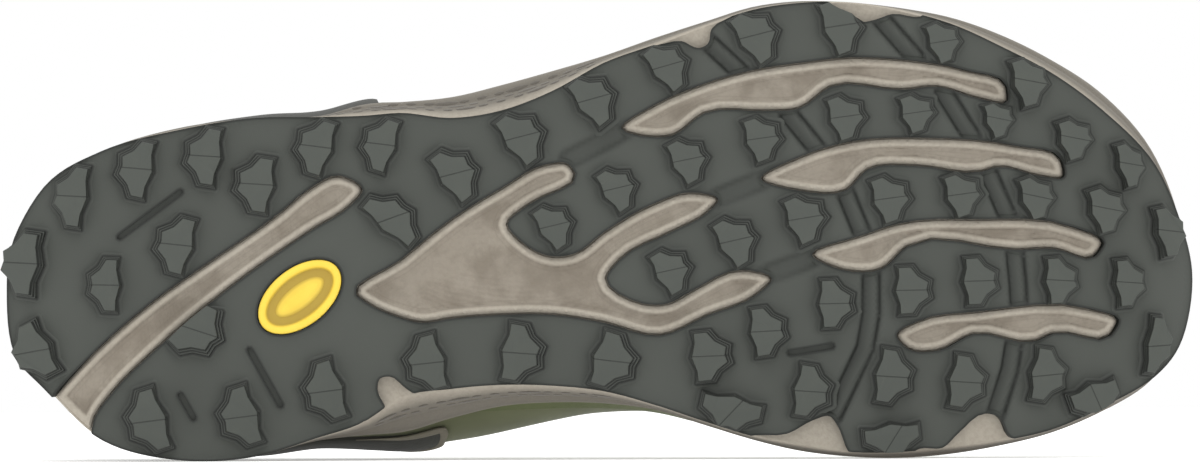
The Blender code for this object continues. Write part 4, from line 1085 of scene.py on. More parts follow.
class Finish:
    """A material's nodes."""

    def __init__(self, name):
        self.material = bpy.data.materials.new(name)
        self.material.use_nodes = True
        self.tree = self.material.node_tree
        self.surface = self.tree.nodes["Principled BSDF"]

    def make(self, kind, settings, values, out=0):
        node = self.tree.nodes.new(kind)
        for key, value in settings.items():
            setattr(node, key, value)
        for key, value in values.items():
            self.feed(node.inputs[key], value)
        return Reading(self, node.outputs[out])

    def feed(self, socket, value):
        if isinstance(value, Reading):
            self.tree.links.new(value.socket, socket)
        else:
            socket.default_value = value

    def object_place(self):
        return self.make("ShaderNodeTexCoord", {}, {}, "Object")

    def pattern_place(self):
        return self.make("ShaderNodeUVMap", {"uv_map": "UVMap"}, {})

    def parts(self, place):
        return [self.make("ShaderNodeSeparateXYZ", {}, {0: place}, i) for i in range(3)]

    def kept(self, name, out="Fac"):
        return self.make("ShaderNodeAttribute", {"attribute_name": name}, {}, out)

    def noise(self, place, scale, detail=2.0, roughness=0.5):
        values = {"Vector": place, "Scale": scale, "Detail": detail, "Roughness": roughness}
        return self.make("ShaderNodeTexNoise", {}, values)

    def cells(self, place, scale):
        return self.make("ShaderNodeTexVoronoi", {}, {"Vector": place, "Scale": scale}, "Distance")

    def blend(self, share, first, second):
        """Colours, from the first where share is 0 to the second where it is 1."""
        return self.make("ShaderNodeMix", {"data_type": "RGBA"}, {0: share, 6: first, 7: second}, 2)

    def bump(self, height, distance, strength):
        values = {"Height": height, "Distance": distance, "Strength": strength}
        return self.make("ShaderNodeBump", {}, values)

    def done(self, colour, roughness, normal=None, **fixed):
        self.feed(self.surface.inputs["Base Color"], colour)
        self.feed(self.surface.inputs["Roughness"], roughness)
        if normal is not None:
            self.feed(self.surface.inputs["Normal"], normal)
        for key, value in fixed.items():
            self.feed(self.surface.inputs[key.replace("_", " ")], value)
        return self.material


def tint(red, green, blue):
    """A colour as seen on a screen, out of 255, for a shader."""
    seen = np.array((red, green, blue)) / 255
    light = np.where(seen <= 0.04045, seen / 12.92, ((seen + 0.055) / 1.055) ** 2.4)
    return (*(float(value) for value in light), 1.0)


def rubber_finish():
    f = Finish("tread_rubber")
    spot = f.object_place()
    broad = f.noise(spot, 28, 3)
    grain = f.noise(spot, 2600, 2)
    lug = f.parts(f.kept("lug", "Vector"))
    shade = f.kept("dark")
    crease = abs(lug[0]).between(0.026, 0.008) * lug[2].between(0.5, 0.7)
    # Painted shade: the lugs' risers and feet darkened, less across part of each ledge
    riser_shade = lug[2].between(0.03, 0.09) * lug[2].between(0.98, 0.90)
    ledges = lug[2].between(0.340, 0.345) * lug[2].between(0.362, 0.355)
    ledges = ledges.highest(lug[2].between(0.610, 0.615) * lug[2].between(0.632, 0.625))
    riser_shade = riser_shade * (1 - ledges * 0.8)
    top = lug[2].between(0.95, 0.995)
    worn = f.noise(spot, 160, 4).between(0.45, 0.75) * top
    colour = f.blend(broad, tint(63, 66, 61), tint(74, 77, 72))
    colour = f.blend(top * 0.5, colour, tint(70, 74, 69))
    colour = f.blend(worn * 0.3, colour, tint(82, 85, 79))
    # painted shade on the lugs' risers and feet
    colour = f.blend(riser_shade * 0.85, colour, tint(28, 30, 27))
    # Painted shade: the dark attribute's shade beside lugs, edges, grooves and slots, and a dark line
    # along each lug's crease
    colour = f.blend((shade * 0.85).highest(crease * 0.6), colour, tint(24, 26, 23))
    height = grain * 0.35 - crease * 2.2
    rough = 0.58 + broad * 0.16 + worn * 0.1
    return f.done(colour, rough, f.bump(height, 0.00012, 0.6), Specular_IOR_Level=0.38)


def foam_finish():
    f = Finish("midsole_foam")
    spot = f.object_place()
    grain = f.cells(spot, 1500)
    broad = f.noise(spot, 45, 3)
    cloud = f.noise(spot, 130, 4).between(0.38, 0.68)
    dish = f.kept("dish")
    deep = f.kept("deep")
    wall = f.kept("wall")
    streak = (deep * (2000 * math.pi / 1.1) + broad * 6).sine().between(0.0, 1.0)
    colour = f.blend(broad, tint(160, 152, 139), tint(178, 171, 158))
    # Painted shade: the dished middle of each island darkened, mottled, with darker streaks strongest near
    # its rim
    colour = f.blend(dish * (0.48 + cloud * 0.28), colour, tint(106, 97, 85))
    streak = streak * deep.between(0.0042, 0.0018)
    colour = f.blend(dish * streak * 0.22, colour, tint(84, 76, 66))
    # Painted shade on the foam's side wall, lighter near the rubber and towards the top
    colour = f.blend(wall * 0.9, colour, tint(105, 101, 93))
    colour = f.blend(f.noise(spot, 900, 2).between(0.35, 0.7) * 0.18, colour, tint(118, 110, 100))
    rough = 0.72 + grain * 0.2
    return f.done(colour, rough, f.bump(grain, 0.00016, 0.5), Specular_IOR_Level=0.3)


def knit_finish(name, dark, light, pitch, sheen=0.2, deep=0.00035):
    """An open engineered mesh: cells in a square grid."""
    f = Finish(name)
    u, v, _ = f.parts(f.pattern_place())
    spot = f.object_place()
    across = (u * (math.pi / pitch)).sine()
    along = (v * (math.pi / pitch)).sine()
    cell = abs(across * along)
    yarn = abs((u * (math.pi * 4 / pitch) + v * (math.pi * 3 / pitch)).sine())
    broad = f.noise(spot, 60, 3)
    hole = cell.between(0.42, 0.85)
    colour = f.blend(broad, dark, light)
    colour = f.blend(yarn * 0.35, colour, light)
    colour = f.blend(hole * 0.9, colour, tuple(c * 0.2 for c in dark[:3]) + (1.0,))
    height = yarn * 0.4 - hole * 1.4
    surface = f.bump(height, deep, 0.9)
    return f.done(colour, 0.86 - yarn * 0.1, surface, Sheen_Weight=sheen, Specular_IOR_Level=0.18)


def film_finish(name, first, second, roughness, dashes=None):
    """A smooth welded film with a fine grain."""
    f = Finish(name)
    spot = f.object_place()
    broad = f.noise(spot, 40, 3)
    grain = f.cells(spot, 1900)
    weave = f.noise(spot, 700, 2)
    colour = f.blend(broad, first, second)
    colour = f.blend(weave.between(0.5, 0.8) * 0.2, colour, tuple(c * 0.6 for c in first[:3]) + (1.0,))
    height = grain * 0.5 + weave * 0.8
    if dashes:
        u, v, _ = f.parts(f.pattern_place())
        row = (v / dashes).part()
        step = ((u + (v / dashes).maths("FLOOR") * (dashes * 1.6)) / (dashes * 3.2)).part()
        bar = abs(row - 0.5).between(0.17, 0.10) * abs(step - 0.5).between(0.34, 0.28)
        colour = f.blend(bar * 0.45, colour, tuple(c * 0.5 for c in second[:3]) + (1.0,))
        height = height - bar * 1.5
    rough = roughness + weave * 0.12
    return f.done(colour, rough, f.bump(height, 0.00010, 0.6), Specular_IOR_Level=0.3)


def lace_finish():
    f = Finish("lace_weave")
    u, v, _ = f.parts(f.pattern_place())
    rib = abs(((u + abs(v)) * (math.pi / 0.00075)).sine())
    thread = abs(((u - v) * (math.pi / 0.00026)).sine())
    fleck = f.noise(f.object_place(), 420, 1).between(0.60, 0.66)
    colour = f.blend(rib, tint(34, 36, 33), tint(70, 73, 66))
    colour = f.blend(fleck * 0.6, colour, tint(118, 122, 92))
    return f.done(colour, 0.88, f.bump(rib + thread * 0.35, 0.0003, 0.9), Sheen_Weight=0.4)


def lining_finish(name, dark, light, scale, sheen=0.6):
    """A brushed fabric: fine loops and a soft sheen."""
    f = Finish(name)
    spot = f.object_place()
    loops = f.cells(spot, scale)
    broad = f.noise(spot, 70, 3)
    colour = f.blend(loops.between(0.1, 0.7), light, dark)
    colour = f.blend(broad.between(0.3, 0.8) * 0.35, colour, dark)
    height = 1 - loops
    return f.done(colour, 0.92, f.bump(height, 0.0003, 0.8), Sheen_Weight=sheen, Specular_IOR_Level=0.2)


def thread_finish(name, dark, light):
    f = Finish(name)
    twist = f.noise(f.object_place(), 1800, 1)
    colour = f.blend(twist, dark, light)
    return f.done(colour, 0.7, f.bump(twist, 0.0001, 0.7), Sheen_Weight=0.2)


def inlay_finish():
    f = Finish("inlay_rubber")
    spot = f.object_place()
    grain = f.noise(spot, 2200, 2)
    broad = f.noise(spot, 120, 3)
    colour = f.blend(broad, tint(232, 196, 62), tint(244, 214, 84))
    colour = f.blend(f.kept("dark") * 0.7, colour, tint(120, 96, 40))
    return f.done(colour, 0.5 + broad * 0.12, f.bump(grain, 0.0001, 0.4), Specular_IOR_Level=0.4)


def plain_finish(name, colour, roughness, glow):
    f = Finish(name)
    broad = f.noise(f.object_place(), 3, 2)
    shade = tuple(value * 0.985 for value in colour[:3]) + (1.0,)
    f.feed(f.surface.inputs["Emission Color"], colour)
    return f.done(f.blend(broad, shade, colour), roughness, Specular_IOR_Level=0.1, Emission_Strength=glow)


FINISHES = {
    "rubber": rubber_finish(),
    "foam": foam_finish(),
    "knit": knit_finish("shell_knit", tint(84, 88, 62), tint(116, 120, 90), 0.0021),
    "film": film_finish("welded_film", tint(86, 94, 60), tint(106, 113, 78), 0.46, 0.0021),
    "stay": film_finish("stay_film", tint(74, 77, 60), tint(88, 91, 72), 0.5),
    "counter": film_finish("counter_film", tint(50, 51, 47), tint(62, 62, 57), 0.5, 0.0030),
    "trim": film_finish("trim_film", tint(116, 111, 99), tint(132, 127, 114), 0.6),
    "lace": lace_finish(),
    "lining": lining_finish("collar_fabric", tint(30, 31, 29), tint(64, 66, 60), 1500),
    "bed": lining_finish("footbed_fabric", tint(26, 27, 26), tint(56, 58, 54), 1100, 0.4),
    "pad": knit_finish("tongue_mesh", tint(70, 74, 56), tint(100, 104, 82), 0.0013),
    "dash": thread_finish("wall_dash", tint(76, 71, 63), tint(92, 86, 77)),
    "thread": thread_finish("pale_thread", tint(118, 120, 98), tint(150, 152, 126)),
    "dark_thread": thread_finish("dark_thread", tint(34, 35, 32), tint(60, 62, 56)),
    "inlay": inlay_finish(),
    "floor": plain_finish("pale_floor", (0.98, 0.98, 0.98, 1.0), 0.9, 0.35),
}


# Foam

# The foam's wall from the rubber up: share of the way out, inset, share of the way up
FOAM_RINGS = (
    (0.00, 0.0003, 0.00), (0.06, 0.0001, 0.015), (0.20, 0.0, 0.07), (0.40, 0.0, 0.16),
    (0.58, 0.0, 0.28), (0.62, 0.0002, 0.30), (0.67, 0.0008, 0.34), (0.74, 0.0008, 0.38),
    (0.79, 0.0002, 0.415), (0.83, 0.0, 0.435), (0.93, 0.0, 0.54), (1.00, 0.0, 0.66),
    (1.00, 0.0, 0.74), (1.00, 0.0007, 0.765), (1.00, 0.0007, 0.79), (1.00, 0.0001, 0.815),
    (1.00, 0.0003, 0.88), (1.00, 0.0008, 0.95), (1.00, 0.0018, 0.99), (1.00, 0.0028, 1.00),
    (1.00, 0.0058, 1.00),
)


def foam_rings(stations):
    rubber = OUTLINE.rubber(stations)
    foam = OUTLINE.foam(stations)
    bottom = np.full((len(rubber), 1), PLATE_BACK + GAP)
    low = bent(np.concatenate([rubber, bottom], axis=1))
    rings = []
    for out, inset, up in FOAM_RINGS:
        spot = grown(low[:, :2] * (1 - out) + foam * out, -inset)
        rim = footbed(spot[:, 0]) + RIM_HEIGHT
        height = low[:, 2] * (1 - up) + rim * up
        rings.append(np.concatenate([spot, height[:, None]], axis=1))
    spot = grown(foam, -RIM_WIDTH - 0.0004)
    rings.append(np.concatenate([spot, footbed(spot[:, 0])[:, None]], axis=1))
    return rings


def island(points, trim=False):
    """The foam that fills an opening: a raised rim and a dished middle."""
    outline = grown(smooth_polygon(points, 4), -1.5 * GAP)
    back = PLATE_BACK + GAP + 0.0012
    loops = [outline]
    if trim:
        groove = prism("groove", [outline], FOAM_FACE, back)
        edge = prism("edge", [grown(OUTLINE.rubber(AROUND), -0.0008)], 0, 0.02)
        loops = face_loops(boolean(groove, edge, "INTERSECT"), FOAM_FACE)
        loops = [loop for loop in loops if len(loop) > 12]

    def height(flat):
        deep = distance_to_loops(flat, loops)
        rounded = 0.0005 * (1 - ease(deep, 0.0, 0.0006))
        dish = 0.0008 * ease(deep, 0.0013, 0.0024)
        streak = 0.00010 * np.sin(deep / 0.00055 * 2 * math.pi) * ease(deep, 0.0014, 0.0022)
        return FOAM_FACE + rounded + dish + streak

    piece = relief(
        "island", loops, 0.00045, 0.0008, (0.0003, 0.0006), height, back
    )
    spots = coordinates(piece)
    deep = distance_to_loops(spots[:, :2], loops)
    point_values(piece, "dish", ease(deep, 0.0013, 0.0024))
    point_values(piece, "deep", deep)
    return bend(piece)


def make_foam():
    rings = foam_rings(AROUND)

    def build(shape):
        rows = loft(shape, rings)
        ladder(shape, rows[0])
        ladder(shape, rows[-1])

    wall = mesh_object("wall", build)
    # How much painted shade darkens each ring of the foam's side wall
    shares = [ease(row[0], 0.05, 0.38) * (1 - 0.6 * ease(row[2], 0.5, 0.9)) for row in FOAM_RINGS]
    point_values(wall, "wall", np.repeat([*shares, 0.4], len(AROUND)))
    pieces = [wall, *(island(points) for points in OPENINGS), island(HEEL_GROOVE, trim=True)]
    return joined("foam", pieces)


# Rows of dashes on the wall: arch side or outer, first and last place, shares of the way up
DASH_ROWS = (
    (False, 26.5, 49.5, (0.15, 0.23, 0.31)),
    (True, 30.5, 50.0, (0.16, 0.24)),
)


def foam_dashes():
    """Rows of flat dark dashes on the wall, short ones and long: places, ways along and outward."""
    sizes = ([[], [], []], [[], [], []])
    for arch_side, start, end, ups in DASH_ROWS:
        low, high = sorted(OUTLINE.measure(x, arch_side) for x in (start, end))
        for row, up in enumerate(ups):
            at = np.arange(low + 0.0021 * row, high, 0.0046)
            long = (np.arange(len(at)) + row) % 4 == 0
            for chosen, lists in zip((~long, long), sizes):
                grid = foam_face(at[chosen], up)
                along = foam_face(at[chosen] + 0.0005, up) - grid
                rise = foam_face(at[chosen], up + 0.02) - grid
                for part, values in zip(lists, (grid, along, np.cross(along, rise))):
                    part.append(values)
    return [[np.concatenate(part) for part in lists] for lists in sizes]


def foam_face(at, up):
    """The wall of the foam at a share of the way up."""
    ups = [row[2] for row in FOAM_RINGS[:-1]]
    rings = foam_rings(at)[:-2]
    high = int(np.searchsorted(ups, up))
    share = (up - ups[high - 1]) / (ups[high] - ups[high - 1])
    return rings[high - 1] * (1 - share) + rings[high] * share


# Repeats


def repeated(name, size, spots, alongs, normals, finish, ring=False):
    """Copies of one small shape at many places, each turned along its line."""
    turns = []
    for along, normal in zip(alongs, normals):
        up = Vector(normal).normalized()
        ahead = (Vector(along) - up * up.dot(Vector(along))).normalized()
        turns.append(Matrix((ahead, up.cross(ahead), up)).transposed().to_euler()[:])
    mesh = bpy.data.meshes.new(name)
    mesh.from_pydata([tuple(spot) for spot in spots], [], [])
    holder = bpy.data.objects.new(name, mesh)
    SCENE.objects.link(holder)
    point_values(holder, "turn", turns)
    tree = bpy.data.node_groups.new(name, "GeometryNodeTree")
    tree.interface.new_socket("Geometry", in_out="INPUT", socket_type="NodeSocketGeometry")
    tree.interface.new_socket("Geometry", in_out="OUTPUT", socket_type="NodeSocketGeometry")
    for label in ("Length", "Width", "Rise"):
        tree.interface.new_socket(label, in_out="INPUT", socket_type="NodeSocketFloat")
    entry = tree.nodes.new("NodeGroupInput")
    leave = tree.nodes.new("NodeGroupOutput")

    def node(kind, inputs, **settings):
        made = tree.nodes.new(kind)
        for key, value in settings.items():
            setattr(made, key, value)
        for key, value in inputs.items():
            if isinstance(value, bpy.types.NodeSocket):
                tree.links.new(value, made.inputs[key])
            else:
                made.inputs[key].default_value = value
        return made

    if ring:
        circle = "GeometryNodeCurvePrimitiveCircle"
        hoop = node(circle, {"Resolution": 20, "Radius": entry.outputs["Length"]})
        round_bar = node(circle, {"Resolution": 8, "Radius": entry.outputs["Width"]})
        ends = {"Curve": hoop.outputs["Curve"], "Profile Curve": round_bar.outputs["Curve"]}
        shape = node("GeometryNodeCurveToMesh", ends).outputs["Mesh"]
    else:
        bead = node("GeometryNodeMeshUVSphere", {"Segments": 8, "Rings": 6, "Radius": 0.5})
        sizes = [entry.outputs[label] for label in ("Length", "Width", "Rise")]
        scale = node("ShaderNodeCombineXYZ", dict(enumerate(sizes))).outputs[0]
        shaped = node("GeometryNodeTransform", {"Geometry": bead.outputs["Mesh"], "Scale": scale})
        shape = shaped.outputs["Geometry"]
    kept = node("GeometryNodeInputNamedAttribute", {"Name": "turn"}, data_type="FLOAT_VECTOR")
    turn = node("FunctionNodeEulerToRotation", {"Euler": kept.outputs["Attribute"]})
    copies = node("GeometryNodeInstanceOnPoints", {
        "Points": entry.outputs["Geometry"], "Instance": shape, "Rotation": turn.outputs["Rotation"],
    })
    real = node("GeometryNodeRealizeInstances", {"Geometry": copies.outputs["Instances"]})
    dressed = node("GeometryNodeSetMaterial", {
        "Geometry": real.outputs["Geometry"], "Material": FINISHES[finish],
    })
    tree.links.new(dressed.outputs["Geometry"], leave.inputs[0])
    change = holder.modifiers.new("repeat", "NODES")
    change.node_group = tree
    inputs = [item for item in tree.interface.items_tree if item.in_out == "INPUT"]
    labels = {item.name: item.identifier for item in inputs}
    for label, value in zip(("Length", "Width", "Rise"), size):
        change[labels[label]] = value
    mesh = made_plain(holder)
    return place(bpy.data.objects.new(name, mesh), finish, sharp=60)


# Upper


def folds(points):
    """Soft creases of the upper: how far its face is drawn in."""
    x, y, z = points.T
    middle = 0.006
    drawn = np.zeros(len(x))
    for start, lean, width, deep in FOLDS:
        line = start * LENGTH - lean * np.abs(y - middle)
        drawn += deep * np.exp(-((x - line) / width) ** 2)
    free = ease(z, 0.030, 0.042) * ease(x, 0.17, 0.20)
    heel = 0.00035 * np.sin(z * 420 + x * 60) * ease(-x, -0.075, -0.045) * ease(z, 0.04, 0.06)
    return drawn * free + heel * 0.6


# Creases across the forefoot: place along the shoe, how they lean back, width and depth
FOLDS = (
    (0.655, 0.10, 0.0036, 0.0007),
    (0.700, 0.16, 0.0042, 0.0009),
    (0.745, 0.20, 0.0038, 0.0006),
    (0.790, 0.22, 0.0050, 0.0004),
)


def shell_face(at, share, off=0.0):
    """The dressed upper's outer face, a little off it."""
    point, normal, up = upper_frame(at, share)
    drawn = folds(point)[:, None]
    return point + normal * (off - drawn), normal, up


def make_shell():
    shares = np.linspace(0, 1, SHELL_ROWS)
    outer, inner = [], []
    for k, share in enumerate(shares):
        point, normal, up = shell_face(AROUND, share)
        depth = wall_thickness(AROUND, share)[:, None]
        outer.append(point)
        if k % 4 == 0 or share == 1:
            inner.append(point - normal * depth)
    inner[0][:, 2] = outer[0][:, 2]
    lip = [
        outer[-1] * (1 - s) + inner[-1] * s + up * depth * 0.38 * math.sin(math.pi * s) ** 0.7
        for s in (0.12, 0.32, 0.5, 0.68, 0.88)
    ]
    rings = [*outer, *lip, *reversed(inner)]
    length = upper_length(AROUND)
    step = OUTLINE.total / len(AROUND)
    ups = [*shares, *(1 + 0.01 * k for k in range(1, 6)), *np.linspace(1.06, 2.06, len(inner))]

    def pattern(k, i):
        return i * step, ups[k] * length[i % len(length)]

    def build(shape):
        rows = loft(shape, rings, uv=pattern)
        count = len(AROUND)
        for i in range(count):
            j = (i + 1) % count
            shape.faces.new((rows[-1][i], rows[-1][j], rows[0][j], rows[0][i]))

    return mesh_object("shell", build)


def make_collar():
    """The padded lining of the collar, over its lip and down inside."""
    start = throat_measures([37.2], True)[0] - OUTLINE.total
    end = throat_measures([37.2], False)[0]
    at = np.linspace(start, end, 150)
    length = upper_length(at)
    taper = np.sqrt(np.clip(1 - np.abs(np.linspace(-1, 1, len(at))) ** 10, 0.02, 1))[:, None]
    columns = []

    def ring(deep, off):
        share = 1 - deep / length
        point, normal, up = shell_face(at, share)
        columns.append(point + normal * off)
        return point, normal, up

    wall = wall_thickness(at, 1.0)[:, None]
    ring(0.0022, 0.0004 * taper)
    ring(0.0006, 0.0007 * taper)
    _, normal, up = ring(0.0, 0.0003 * taper)
    for s in (0.2, 0.4, 0.6, 0.8):
        rise = (0.38 * math.sin(math.pi * s) ** 0.7) * wall + 0.0006 * taper
        columns.append(shell_face(at, 1.0)[0] - normal * wall * s + up * rise)
    for share in np.linspace(0, 1, 15):
        deep = 0.030 * share
        depth = wall_thickness(at, 1 - deep / length)[:, None]
        swell = (0.0004 + 0.0016 * math.sin(math.pi * share) ** 0.8) * taper
        ring(deep, -(depth + swell))
    ring(0.0305, -0.0016)
    for deep in (0.024, 0.014, 0.004):
        ring(deep, -0.0012)
    ring(0.0022, -0.0005)
    rings = [np.array(column) for column in np.array(columns).transpose(1, 0, 2)]
    return mesh_object("collar_lining", lambda shape: loft(shape, rings, caps=True))


def film(name, measures, low, high, rows, thick):
    """A film laid on the upper between two shares of its lines, its edges turned down."""
    length = upper_length(measures)
    low = np.broadcast_to(low, length.shape)
    high = np.broadcast_to(high, length.shape)
    steps = [(0.0, 0.0), (0.0, 0.0003), (0.0, 0.0008)]
    steps += [(share, 0.0) for share in np.linspace(0, 1, rows + 2)[1:-1]]
    steps += [(1.0, -0.0008), (1.0, -0.0003), (1.0, 0.0)]
    lifts = [-0.0003, thick * 0.75, thick, *([thick] * rows), thick, thick * 0.75, -0.0003]
    run = (measures - measures[0]) / (measures[-1] - measures[0]) * OUTLINE.total
    gap = np.minimum(run, run[-1] - run)
    end = ease(gap, -0.0002, 0.0010)
    outer, back = [], []
    for (share, step), lift in zip(steps, lifts):
        at = low * (1 - share) + high * share + step / length
        point, normal, _ = shell_face(measures, at)
        outer.append(point + normal * (lift * end - 0.0003 * (1 - end))[:, None])
        back.append(point - normal * 0.0009)
    rings = [*outer, *reversed(back)]

    def pattern(k, i):
        i = min(i, len(measures) - 1)
        k = min(k, len(steps) - 1)
        share, step = steps[k]
        return measures[i], (low[i] * (1 - share) + high[i] * share) * length[i] + step

    columns = np.array(rings).transpose(1, 0, 2)

    def build(shape):
        loft(shape, list(columns), caps=True, uv=lambda i, k: pattern(k, i))

    return mesh_object(name, build)


def fine_measures(start, end, step=0.0011):
    return np.linspace(start, end, int(abs(end - start) / step) + 2)


def throat_measures(x_shares, arch_side):
    """Measures whose lines end at the given places of the throat's edge."""
    table = ARCH_LINES if arch_side else OUTER_LINES
    ends = [row[1] for row in table]
    feet = [row[0] for row in table]
    return np.array([OUTLINE.measure(np.interp(x, ends, feet), arch_side) for x in x_shares])


def throat_point(x, depth, arch_side, off):
    """A point off the face, above a place of the throat's edge and this deep behind it."""
    at = throat_measures([x], arch_side)
    point, normal, _ = shell_face(at, 1 - depth / upper_length(at))
    return point[0] + normal[0] * off, normal[0]


def counter_edges(measures):
    """The lower and upper edge of the heel overlay as depths: swept to its tips, off the foam in front."""
    start, end = measures[0], measures[-1]
    along = np.abs((measures - start) / (end - start) * 2 - 1)
    reach = COUNTER_DEPTH * np.sqrt(np.clip(1 - along**3.2, 0, 1))
    low = 0.0008 + 0.0042 * ease(measures - start, 0.055, 0.020)
    return low, low + 0.0022 + reach


def make_counter():
    start = OUTLINE.measure(36.2, True) - OUTLINE.total
    measures = fine_measures(start, OUTLINE.measure(31.2, False))
    length = upper_length(measures)
    low, high = counter_edges(measures)
    counter = film("counter", measures, low / length, high / length, 8, 0.0012)
    front = measures - start < 0.022
    back = measures[-1] - measures > 0.014
    path = [np.stack([measures, high], axis=1)[back][::2], np.stack([measures, low], axis=1)[front][::2]]
    path = np.concatenate([path[0][::-1], path[1]])
    point, way, _ = shell_face(path[:, 0], path[:, 1] / upper_length(path[:, 0]), 0.0010)
    trim = mesh_object("counter_edge", lambda shape: band(shape, point, way, TRIM_WIDTH, 0.0011))
    return counter, trim


def band(shape, points, ways, width, depth):
    """A flat strip with rounded edges along a line, lying on the upper."""
    knots = np.concatenate([[0], np.cumsum(np.linalg.norm(np.diff(points, axis=0), axis=1))])
    at = np.linspace(0, knots[-1], int(knots[-1] / 0.0012))
    line = np.stack([np.interp(at, knots, points[:, i]) for i in range(3)], axis=1)
    way = np.stack([np.interp(at, knots, ways[:, i]) for i in range(3)], axis=1)
    along = np.gradient(line, axis=0)
    side = np.cross(along, way)
    side /= np.maximum(np.linalg.norm(side, axis=1), 1e-9)[:, None]
    taper = 0.12 + 0.88 * ease(np.minimum(at, at[-1] - at), 0.0, 0.020)
    angles = 2 * math.pi * np.arange(12) / 12
    across = np.sign(np.cos(angles)) * np.abs(np.cos(angles)) ** 0.6
    rise = np.sin(angles)
    rings = [
        p + np.outer(across * width / 2 * t, s) + np.outer(rise * depth / 2 * t, n)
        for p, s, n, t in zip(line, side, way, taper)
    ]
    loft(shape, rings, caps=True)


def make_guard():
    start, end = OUTLINE.measure(37.8, False), OUTLINE.measure(38.6, True)
    measures = fine_measures(start, end)
    along = np.abs((measures - start) / (end - start) * 2 - 1)
    length = upper_length(measures)
    high = MUDGUARD_DEPTH * (1 - 0.55 * along**2) * np.sqrt(np.clip(1 - along**16, 0.04, 1)) / length
    return film("guard", measures, 0.0008 / length, high, 5, 0.0010)


def stay_measures():
    places = [*np.linspace(38.4, 61.0, 60), 61.8, 62.4, 62.9, 63.4, 63.8, 64.1]
    outer = throat_measures(places, False)
    arch = throat_measures(places, True)
    middle = OUTLINE.half_length
    front = np.linspace(outer[-1], arch[-1], 12)[1:-1]
    return np.concatenate([outer, front, arch[::-1]]), middle


def make_stay():
    measures, _ = stay_measures()
    length = upper_length(measures)
    stay = film("lace_stay", measures, 1 - EYESTAY_WIDTH / length, 1 - 0.0004 / length, 6, 0.0014)

    def build(shape):
        for point, normal in eyelet_places():
            turn = Vector(normal).to_track_quat("Z", "Y").to_matrix().to_4x4()
            bore = {"radius1": EYELET / 2, "radius2": EYELET / 2, "depth": 0.006}
            spot = Matrix.Translation(Vector(point)) @ turn
            bmesh.ops.create_cone(shape, cap_ends=True, segments=24, matrix=spot, **bore)

    return boolean(stay, mesh_object("bores", build), "DIFFERENCE")


def eyelet_places(off=0.0012):
    return [
        throat_point(x, EYELET_INSET, arch_side, off) for arch_side in (False, True) for x in EYELET_PLACES
    ]
# Tongue, lacing and the inside


def tongue_rows():
    """The tongue's top face, a row of points across for each station, front first."""
    sections = []
    for x in (62.4, 60.0, 56.0, 51.5, 47.0, 42.5, 39.4):
        sides = []
        for arch_side in (False, True):
            at = throat_measures([x], arch_side)
            tuck = TONGUE_TUCK * min(1, (63.5 - x) / 3, (x - 38.4) / 4)
            row = []
            for depth in (tuck, tuck / 2, 0.0):
                share = 1 - depth / upper_length(at)
                point, normal, _ = upper_frame(at, share)
                row.append(point[0] - normal[0] * (wall_thickness(at, share)[0] + 4 * GAP))
            sides.append(row)
        outer, arch = sides
        across = [outer[-1] * (1 - s) + arch[-1] * s for s in (0.25, 0.5, 0.75)]
        for point, crown in zip(across, (0.0011, 0.0016, 0.0011)):
            point[2] += crown
        sections.append([*outer, *across, *reversed(arch)])
    middle = sections[-1][4][1]
    for x, share, half_width, drop in TONGUE_TOP:
        row = []
        for u in (-1, -0.85, -0.62, -0.33, 0, 0.33, 0.62, 0.85, 1):
            height = share * TONGUE_HEIGHT - drop * BALL_WIDTH * u * u
            row.append(np.array((x / 100 * LENGTH, middle + u * half_width * BALL_WIDTH, height)))
        sections.append(row)
    return np.array(sections)


def tongue_grid(stations=90, across=41):
    """The same rows, finer both ways, with the way down through the pad."""
    rows = tongue_rows()
    knots = np.concatenate([[0], np.cumsum(np.linalg.norm(np.diff(rows[:, 4], axis=0), axis=1))])
    at = np.linspace(0, knots[-1], stations)
    flat = hermite(knots, rows.reshape(len(rows), -1), at).reshape(stations, 9, 3)
    u = np.linspace(0, 8, across)
    fine = np.array([hermite(np.arange(9.0), row, u) for row in flat])
    middle = fine[:, across // 2]
    way = np.gradient(middle, axis=0)
    down = np.stack([way[:, 2], np.zeros(stations), -way[:, 0]], axis=1)
    down /= np.linalg.norm(down, axis=1)[:, None]
    down *= -np.sign(down[:, 2:3] + 1e-9)
    centre = middle + down * TONGUE_BEND
    inward = centre[:, None] - fine
    inward /= np.linalg.norm(inward, axis=2)[:, :, None]
    return fine, inward, at, u / 4 - 1


def make_tongue():
    fine, inward, at, u = tongue_grid()
    share = at / at[-1]
    seams = np.exp(-((np.abs(u)[None, :] - 0.42) / 0.035) ** 2) * 0.0009
    cross = np.exp(-(((share[:, None] * 7) % 1 - 0.5) / 0.07) ** 2) * 0.0007 * (np.abs(u)[None, :] < 0.42)
    edge = ease(1 - np.abs(u), 0.0, 0.10)[None, :] * ease(1 - share, 0.0, 0.03)[:, None]
    drawn = np.maximum(seams, cross) + 0.0013 * (1 - edge)
    top = fine + inward * drawn[:, :, None]
    under = fine + inward * (TONGUE - 0.0013 * (1 - edge))[:, :, None]
    rings = [np.concatenate([a, b[::-1]]) for a, b in zip(top, under)]
    width = np.linalg.norm(fine[:, 0] - fine[:, -1], axis=1)

    def pattern(k, i):
        i = min(i, 2 * len(u) - 1)
        i = i if i < len(u) else 2 * len(u) - 1 - i
        return u[i] * width[k] / 2, at[k]

    return mesh_object("tongue_pad", lambda shape: loft(shape, rings, caps=True, uv=pattern))


LACE_WIDTH = 0.0054
LACE_DEPTH = 0.0014


